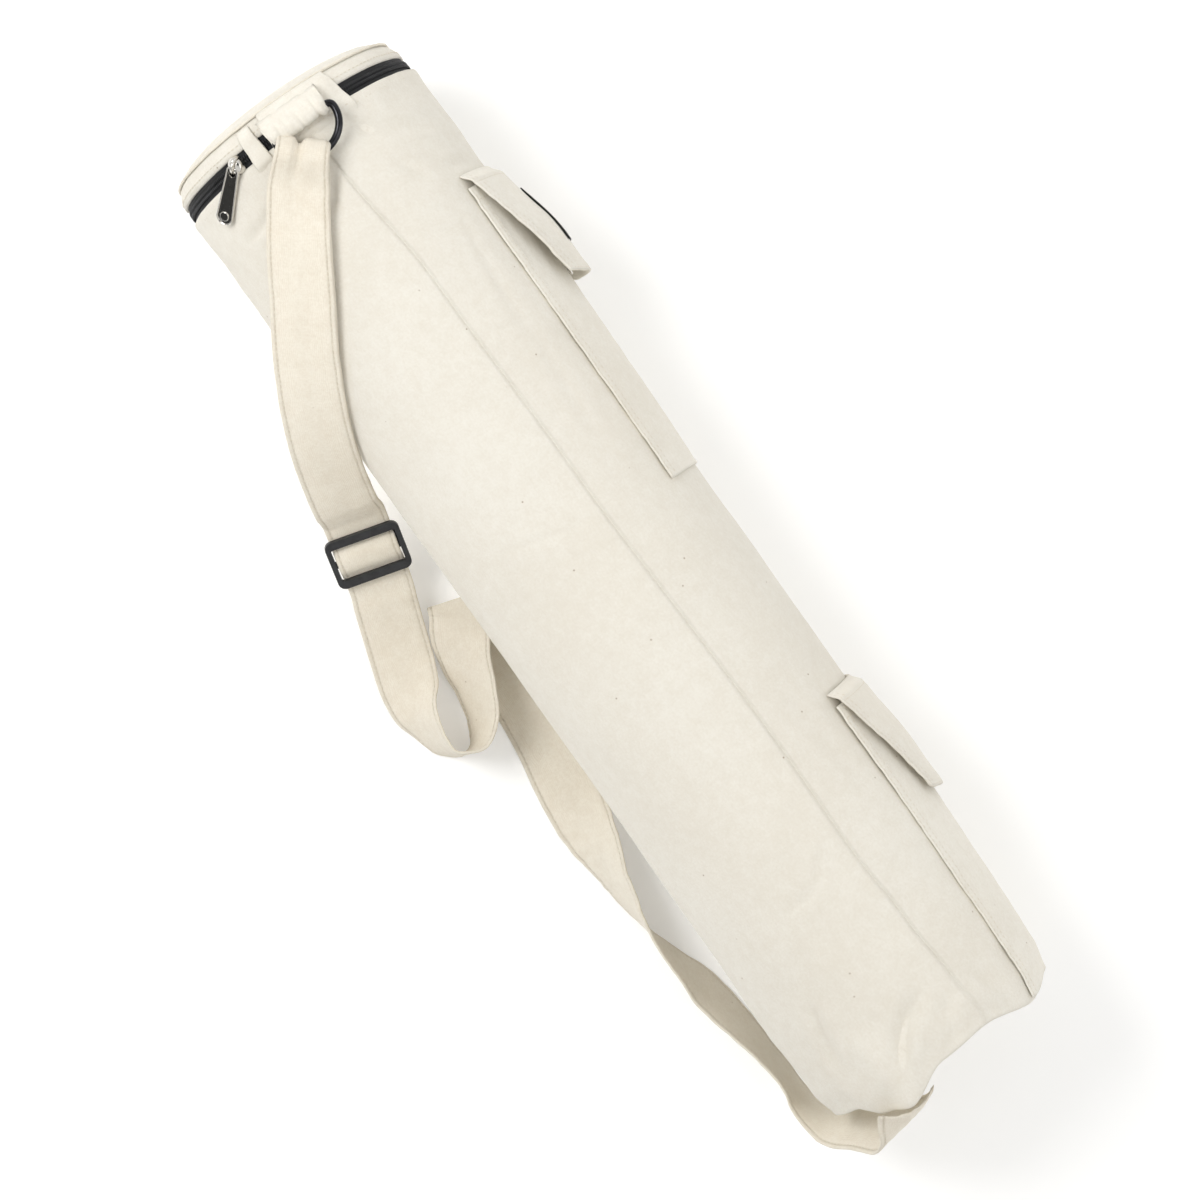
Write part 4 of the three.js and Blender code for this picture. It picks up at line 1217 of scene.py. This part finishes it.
def hemRelief(inside, seed, walked):
    # the folded hem along an edge, with its two rows of stitching
    fold = 0.45 * (1 - ease(inside, pocketLook["hem"] - 0.8, pocketLook["hem"] + 0.8))
    rows = -0.35 * bump(inside, 1.6, 0.6) - 0.35 * bump(inside, pocketLook["hem"] - 1.2, 0.6)
    return fold + rows + 0.3 * ripple(walked, inside * 0.4, 5.5, seed) * (1 - ease(inside, 6, 12))


def makePocket(side):
    pocket = pockets[side]
    width = pocketLook["span"] * perDegree

    def pocketPoint(across, along, lift=0.0):
        x = pocket["top"] + along * pocket["length"]
        inside = min(across, 1 - across) * width
        relief = (
            hemRelief(inside, pocket["seed"], x) + 0.4 * ripple(x, across * width, 20, pocket["seed"] + 1)
        )
        relief += (
            0.45 * (1 - ease(along * pocket["length"], 9, 11))
            + 0.25 * ripple(x, across * width, 6, pocket["seed"] + 2)
        )
        waver = 0.35 * ripple(x, across, 9, pocket["seed"] + 3) * (1 if across > 0.5 else -1)
        around = pocketLook["around"] + (across - 0.5) * pocketLook["span"] + waver
        return bagPoint(x, around, pocketRise(along, across - 0.5) + relief + lift, False), bagOut(around)

    def surface(across, along):
        return pocketPoint(across, along, 0.3)

    ob = finishPiece(
        layered(60, 110, (width, pocket["length"]), surface, pocketLook["cloth"]), side + "Pocket",
        canvas, [side + "_pocket"]
    )
    lines = []
    for inside in (1.6, pocketLook["hem"] - 1.2):
        for edge in (inside / width, 1 - inside / width):
            lines.append([pocketPoint(edge, along, 1.15) for along in evenSteps(0.005, 0.995, 160)])
    lines.append([pocketPoint(across, 0.042, 1.15) for across in evenSteps(0.01, 0.99, 90)])
    return lines


def flapEdge(along):
    # half of the flap's width, narrowing in a soft curve
    return mix(pocketLook["span"], pocketLook["tip"], along ** 1.15) / 2


def makeFlap(side):
    pocket = pockets[side]
    start = pocket["top"] - pocketLook["lap"]
    width = pocketLook["span"] * perDegree

    def flapPoint(across, along, lift=0.0):
        u = 2 * across - 1
        tip = 1 - 0.05 * abs(u) ** 3 - 0.012 * ripple(u * 30, 0, 9, pocket["seed"])
        x = start + along * pocketLook["flap"] * tip
        walked = along * pocketLook["flap"]
        waver = 0.55 * ripple(walked, u, 7, pocket["seed"] + 4) * abs(u) * (1 if u > 0 else -1)
        around = pocketLook["around"] + u * flapEdge(along) + waver
        inside = min((1 - abs(u)) * flapEdge(along) * perDegree, (1 - along) * pocketLook["flap"])
        relief = (
            hemRelief(inside, pocket["seed"] + 5, walked + u * 40)
            + 0.5 * ripple(x, u * 50, 17, pocket["seed"] + 6)
        )
        relief += 0.55 * abs(u) ** 4 * ripple(walked, u, 12, pocket["seed"] + 7) * ease(along, 0.1, 0.35)
        relief -= 0.5 * bump(walked, pocketLook["lap"], 1.6)
        return bagPoint(
            x, around, flapRise(pocket["lift"], along, u / 2) + relief + lift, False
        ), bagOut(around)

    def surface(across, along):
        return flapPoint(across, along, 0.75)

    ob = finishPiece(
        layered(56, 60, (width, pocketLook["flap"]), surface, pocketLook["flapCloth"]), side + "Flap",
        canvas, [side + "_flap"]
    )
    lines = []
    for inside in (1.7, 5.3):
        for way in (-1, 1):
            line = []
            for along in evenSteps(0.02, 0.97, 80):
                share = 0.5 + way * (0.5 - inside / (2 * flapEdge(along) * perDegree))
                line.append(flapPoint(share, along, 1.75))
            lines.append(line)
        lines.append(
            [
                flapPoint(across, 1 - inside / pocketLook["flap"], 1.75)
                for across in evenSteps(0.05, 0.95, 70)
            ]
        )
    lines.append(
        [
            flapPoint(across, pocketLook["lap"] / pocketLook["flap"], 1.75)
            for across in evenSteps(0.02, 0.98, 90)
        ]
    )
    return lines


sew("pocketStitches", makePocket("upper") + makePocket("lower") + makeFlap("upper") + makeFlap("lower"))
print("pockets made")


# the woven label and the two halves of the snap
label = {"start": 22, "long": 42, "wide": 22, "thick": 0.8, "lift": 2.4}
snap = {"size": 12, "tall": 1.6}


def makeLabel():
    start = pockets["upper"]["top"] - pocketLook["lap"]

    def surface(across, along):
        walked = label["start"] + along * label["long"]
        around = pocketLook["around"] + (across - 0.5) * label["wide"] / perDegree
        rise = flapRise(pockets["upper"]["lift"], walked / pocketLook["flap"], 0) + label["lift"]
        border = 0.12 * bump(min(across, 1 - across) * label["wide"], 1.2, 0.4)
        return bagPoint(
            start + walked, around, rise + border + 0.2 * ripple(walked, across * 20, 9, 71), False
        ), bagOut(around)

    flat = (label["wide"], label["long"])
    ob = finishPiece(
        layered(24, 40, flat, surface, label["thick"]), "wovenLabel", blackTape,
        ["upper_label"]
    )


def makeSnapHalf(name, node, cap):
    # a turned disc: its profile goes from the middle of one face round to the middle of the other
    low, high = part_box(node)
    middle = (low + high) / 2
    disc = bmesh.new()
    radius, tall = snap["size"] / 2, snap["tall"]
    profile = [
        (0, tall / 2 * cap), (1.8, tall / 2 * cap), (2.3, tall * 0.3), (3.4, tall * 0.3), (3.9, tall / 2),
        (5.4, tall / 2), (radius, tall * 0.25), (radius, -tall * 0.3), (5.6, -tall / 2), (0, -tall / 2),
    ]
    verts = [disc.verts.new(Vector((across, 0, rise)) * millimetre) for across, rise in profile]
    edges = [disc.edges.new(pair) for pair in zip(verts, verts[1:])]
    bmesh.ops.spin(
        disc, geom=verts + edges, cent=(0, 0, 0), axis=(0, 0, 1), angle=turn(360), steps=32,
        use_merge=True
    )
    bmesh.ops.remove_doubles(disc, verts=disc.verts, dist=weld)
    bmesh.ops.recalc_face_normals(disc, faces=disc.faces)
    disc.transform(Matrix.Translation(middle) @ Matrix.Rotation(turn(-90 if cap > 0 else 90), 4, "X"))
    finishPiece(disc, name, nickel, [node])


makeLabel()
makeSnapHalf("snapStud", "snap_stud", 1)
makeSnapHalf("snapSocket", "snap_socket", -0.2)
print("label and snap made")


# the sewn round bottom, set a little inside the rim
bottomEnd = {"x": 337, "dome": 6, "thick": 2}


def makeBottom():
    shares = evenSteps(0, 0.974, 26)
    profile = (
        [(share, 0) for share in shares] + [(share, -bottomEnd["thick"]) for share in reversed(shares)]
    )

    def place(across, along):
        share, back = profile[round(along * (len(profile) - 1))]
        around = mix(-180, 180, across)
        rim = bagPoint(bottomEnd["x"], around, -2.4, False)
        middle = Vector((bottomEnd["x"], 0, bag["axis"]))
        spot = middle.lerp(rim, share)
        pleats = 1.2 * share ** 4 * ripple(rim.y, rim.z, 8, 72)
        spot.x += (
            bottomEnd["dome"] * (1 - share * share) + back + pleats + 1.2 * ripple(spot.y, spot.z, 38, 73)
        )
        return spot

    ob = finishPiece(
        clothGrid(120, len(profile) - 1, (164, 164), place), "bottomCanvas", canvas,
        ["bottom_panel"]
    )


makeBottom()
print("bottom made")


# the zip slider: a domed plate with a bail, and the pull that swings on it
slider = {
    "around": -28, "long": 12.5, "wide": 10, "low": -1.8, "tall": 2.4, "heading": 57,
    "bailSpan": 11, "bailHeight": 6.4, "bailWire": 1.7,
}
pull = {
    "long": 38, "eye": 8.2, "end": 11.5, "thick": 1.5, "droop": 11, "rim": 0.75, "disc": 3.1,
    "hingeRise": 3.8, "forward": 1.4
}
sliderPlace = skinFrame(zipParts["centre"], slider["around"])
pullTurn = turn(slider["heading"])
pullWay = Vector((-math.sin(pullTurn), -math.cos(pullTurn), 0))


def hardShape(kind, size, place, bevel=0.0, **options):
    # a plain operator's shape, scaled, rounded and set down, in millimetres
    made = bmesh.new()
    getattr(bmesh.ops, kind)(made, **options)
    bmesh.ops.scale(made, vec=Vector(size), verts=made.verts)
    if bevel:
        softenEdges(made, 35, bevel)
    made.transform(place)
    return made


def joined(shapes):
    whole = bmesh.new()
    for shape in shapes:
        held = bpy.data.meshes.new("held")
        shape.to_mesh(held)
        shape.free()
        whole.from_mesh(held)
        bpy.data.meshes.remove(held)
    whole.transform(Matrix.Scale(millimetre, 4))
    bmesh.ops.recalc_face_normals(whole, faces=whole.faces)
    return whole


def wireAlong(path, radius, sides=14):
    # a round wire along open places, shut by its end rows
    count = len(path) + 1
    wire = bmesh.new()
    bmesh.ops.create_grid(wire, x_segments=sides, y_segments=count, size=0.5)
    for vert in wire.verts:
        step = round((vert.co.y + 0.5) * count) - 1
        ended = step < 0 or step >= len(path)
        step = min(max(step, 0), len(path) - 1)
        ahead = (path[min(step + 1, len(path) - 1)] - path[max(step - 1, 0)]).normalized()
        side = (
            ahead.orthogonal().normalized() if abs(ahead.z) > 0.999
            else ahead.cross(Vector((0, 0, 1))).normalized()
        )
        angle = 2 * math.pi * (vert.co.x + 0.5)
        across = side * math.cos(angle) + ahead.cross(side) * math.sin(angle)
        vert.co = path[step] + across * (0 if ended else radius)
    bmesh.ops.remove_doubles(wire, verts=wire.verts, dist=1e-4)
    return wire


def makeSlider():
    turned = sliderPlace @ Matrix.Rotation(math.pi / 2, 4, "Z")
    middle = (slider["low"] + slider["tall"]) / 2
    size = (slider["long"] / 2, slider["wide"] / 2, slider["tall"] - slider["low"])
    plate = hardShape(
        "create_cone", size, turned @ Matrix.Translation((0, 0, middle)), 0.9, cap_ends=True, segments=40,
        radius1=1, radius2=0.86, depth=1
    )
    dome = hardShape(
        "create_uvsphere", (5.3, 4.7, 3.0), turned @ Matrix.Translation((0, 0, slider["tall"] - 0.4)),
        u_segments=32, v_segments=16, radius=1
    )
    rivet = hardShape(
        "create_uvsphere", (1.5, 1.5, 1.2),
        turned @ Matrix.Translation((2.4, -1.2, slider["tall"] + 1.7)), u_segments=20, v_segments=10,
        radius=1
    )
    bow = []
    for angle in evenSteps(0, 180, 28):
        reach = math.cos(turn(angle)) * (slider["bailSpan"] - slider["bailWire"]) / 2
        bow.append(
            pullWay * reach
            + Vector((0, 0, slider["tall"] - 1.2 + math.sin(turn(angle)) * (slider["bailHeight"] - 0.4)))
        )
    bail = wireAlong(bow, slider["bailWire"] / 2)
    bail.transform(sliderPlace)
    finishPiece(joined([plate, dome, rivet, bail]), "zipSlider", nickel, ["zip_slider"])


def pullOutline(inset=0.0):
    # tapered sides, a round lower end and cut corners at the eye
    eye, end, long = pull["eye"] / 2 - inset, pull["end"] / 2 - inset, pull["long"]
    points = [Vector((-0.6 + inset, -eye + 1.8, 0)), Vector((1.2, -eye, 0)), Vector((5, -eye - 0.1, 0))]
    points += [
        Vector((long - pull["end"] / 2 + end * math.cos(turn(angle)), end * math.sin(turn(angle)), 0))
        for angle in evenSteps(-80, 80, 16)
    ]
    return (
        points + [Vector((5, eye + 0.1, 0)), Vector((1.2, eye, 0)), Vector((-0.6 + inset, eye - 1.8, 0))]
    )


def makePull():
    # a flat plate with an oval eye, a raised rim and a plain disc near its lower end
    droop = turn(pull["droop"])
    along = pullWay * math.cos(droop) + Vector((0, 0, -math.sin(droop)))
    out = pullWay * math.sin(droop) + Vector((0, 0, math.cos(droop)))
    axes = Matrix((along, out.cross(along), out)).transposed().to_4x4()
    hinge = pullWay * pull["forward"] + Vector((0, 0, pull["hingeRise"]))
    place = sliderPlace @ Matrix.Translation(hinge) @ axes
    plate = bmesh.new()
    outer = [plate.verts.new(spot) for spot in pullOutline()]
    edges = [plate.edges.new(pair) for pair in zip(outer, outer[1:] + outer[:1])]
    eye = bmesh.ops.create_circle(plate, cap_ends=False, segments=24, radius=1)["verts"]
    bmesh.ops.scale(plate, vec=(2.7, 2.2, 1), verts=eye)
    bmesh.ops.translate(plate, vec=(3.1, 0, 0), verts=eye)
    edges += [edge for edge in plate.edges if edge.verts[0] in eye]
    bmesh.ops.triangle_fill(plate, edges=edges, use_beauty=True)
    bmesh.ops.translate(plate, vec=(0, 0, -pull["thick"] / 2), verts=plate.verts)
    lifted = bmesh.ops.extrude_face_region(plate, geom=plate.faces[:])["geom"]
    bmesh.ops.translate(
        plate, vec=(0, 0, pull["thick"]),
        verts=[part for part in lifted if isinstance(part, bmesh.types.BMVert)]
    )
    softenEdges(plate, 50, 0.3, 2)
    rim = [spot + Vector((0, 0, pull["thick"] / 2)) for spot in pullOutline(pull["rim"] * 0.7)]
    shapes = [plate, wireAlong(rim + rim[:2], pull["rim"] * 0.62, 10)]
    disc = Matrix.Translation((pull["long"] - pull["end"] / 2, 0, pull["thick"] / 2 + 0.2))
    shapes.append(
        hardShape(
            "create_cone", (pull["disc"], pull["disc"], 1.0), disc, 0.25, cap_ends=True, segments=40,
            radius1=1, radius2=0.92, depth=1
        )
    )
    for shape in shapes:
        shape.transform(place)
    finishPiece(joined(shapes), "zipPull", nickel, ["zip_pull"], body="pull")


makeSlider()
makePull()
print("slider and pull made")


# stitches along the mouth's hem, round the lid and across the hinge
def skinLine(spots, lift):
    return [(bagPoint(x, around, lift), bagOut(around)) for x, around in spots]


def makeSeamStitches():
    arcs = evenSteps(-120, 120, 700)
    mouth = [(bag["mouth"] + 5.2, around) for around in arcs if not -9 < around < 27]
    lidRow = [(lidPoint(-337.0, 0.9885, around, 0.15), bagOut(around)) for around in arcs]
    band = [(bagPoint(-319.5, around, 1.35, False), bagOut(around)) for around in evenSteps(-9.5, 27, 60)]
    sew("seamStitches", [skinLine(mouth, 0.1), lidRow, band])


makeSeamStitches()
print("stitches made")


# a pale floor that the bag lies on
def makeFloor():
    floor = bmesh.new()
    bmesh.ops.create_grid(floor, x_segments=1, y_segments=1, size=studio["floorSize"] / 2)
    layer = floor.loops.layers.uv.new("cloth")
    for face in floor.faces:
        for corner in face.loops:
            corner[layer].uv = corner.vert.co.xy
    data = bpy.data.meshes.new("floor")
    floor.to_mesh(data)
    floor.free()
    data.materials.append(paper)
    ob = bpy.data.objects.new("floor", data)
    scene.collection.objects.link(ob)


makeFloor()
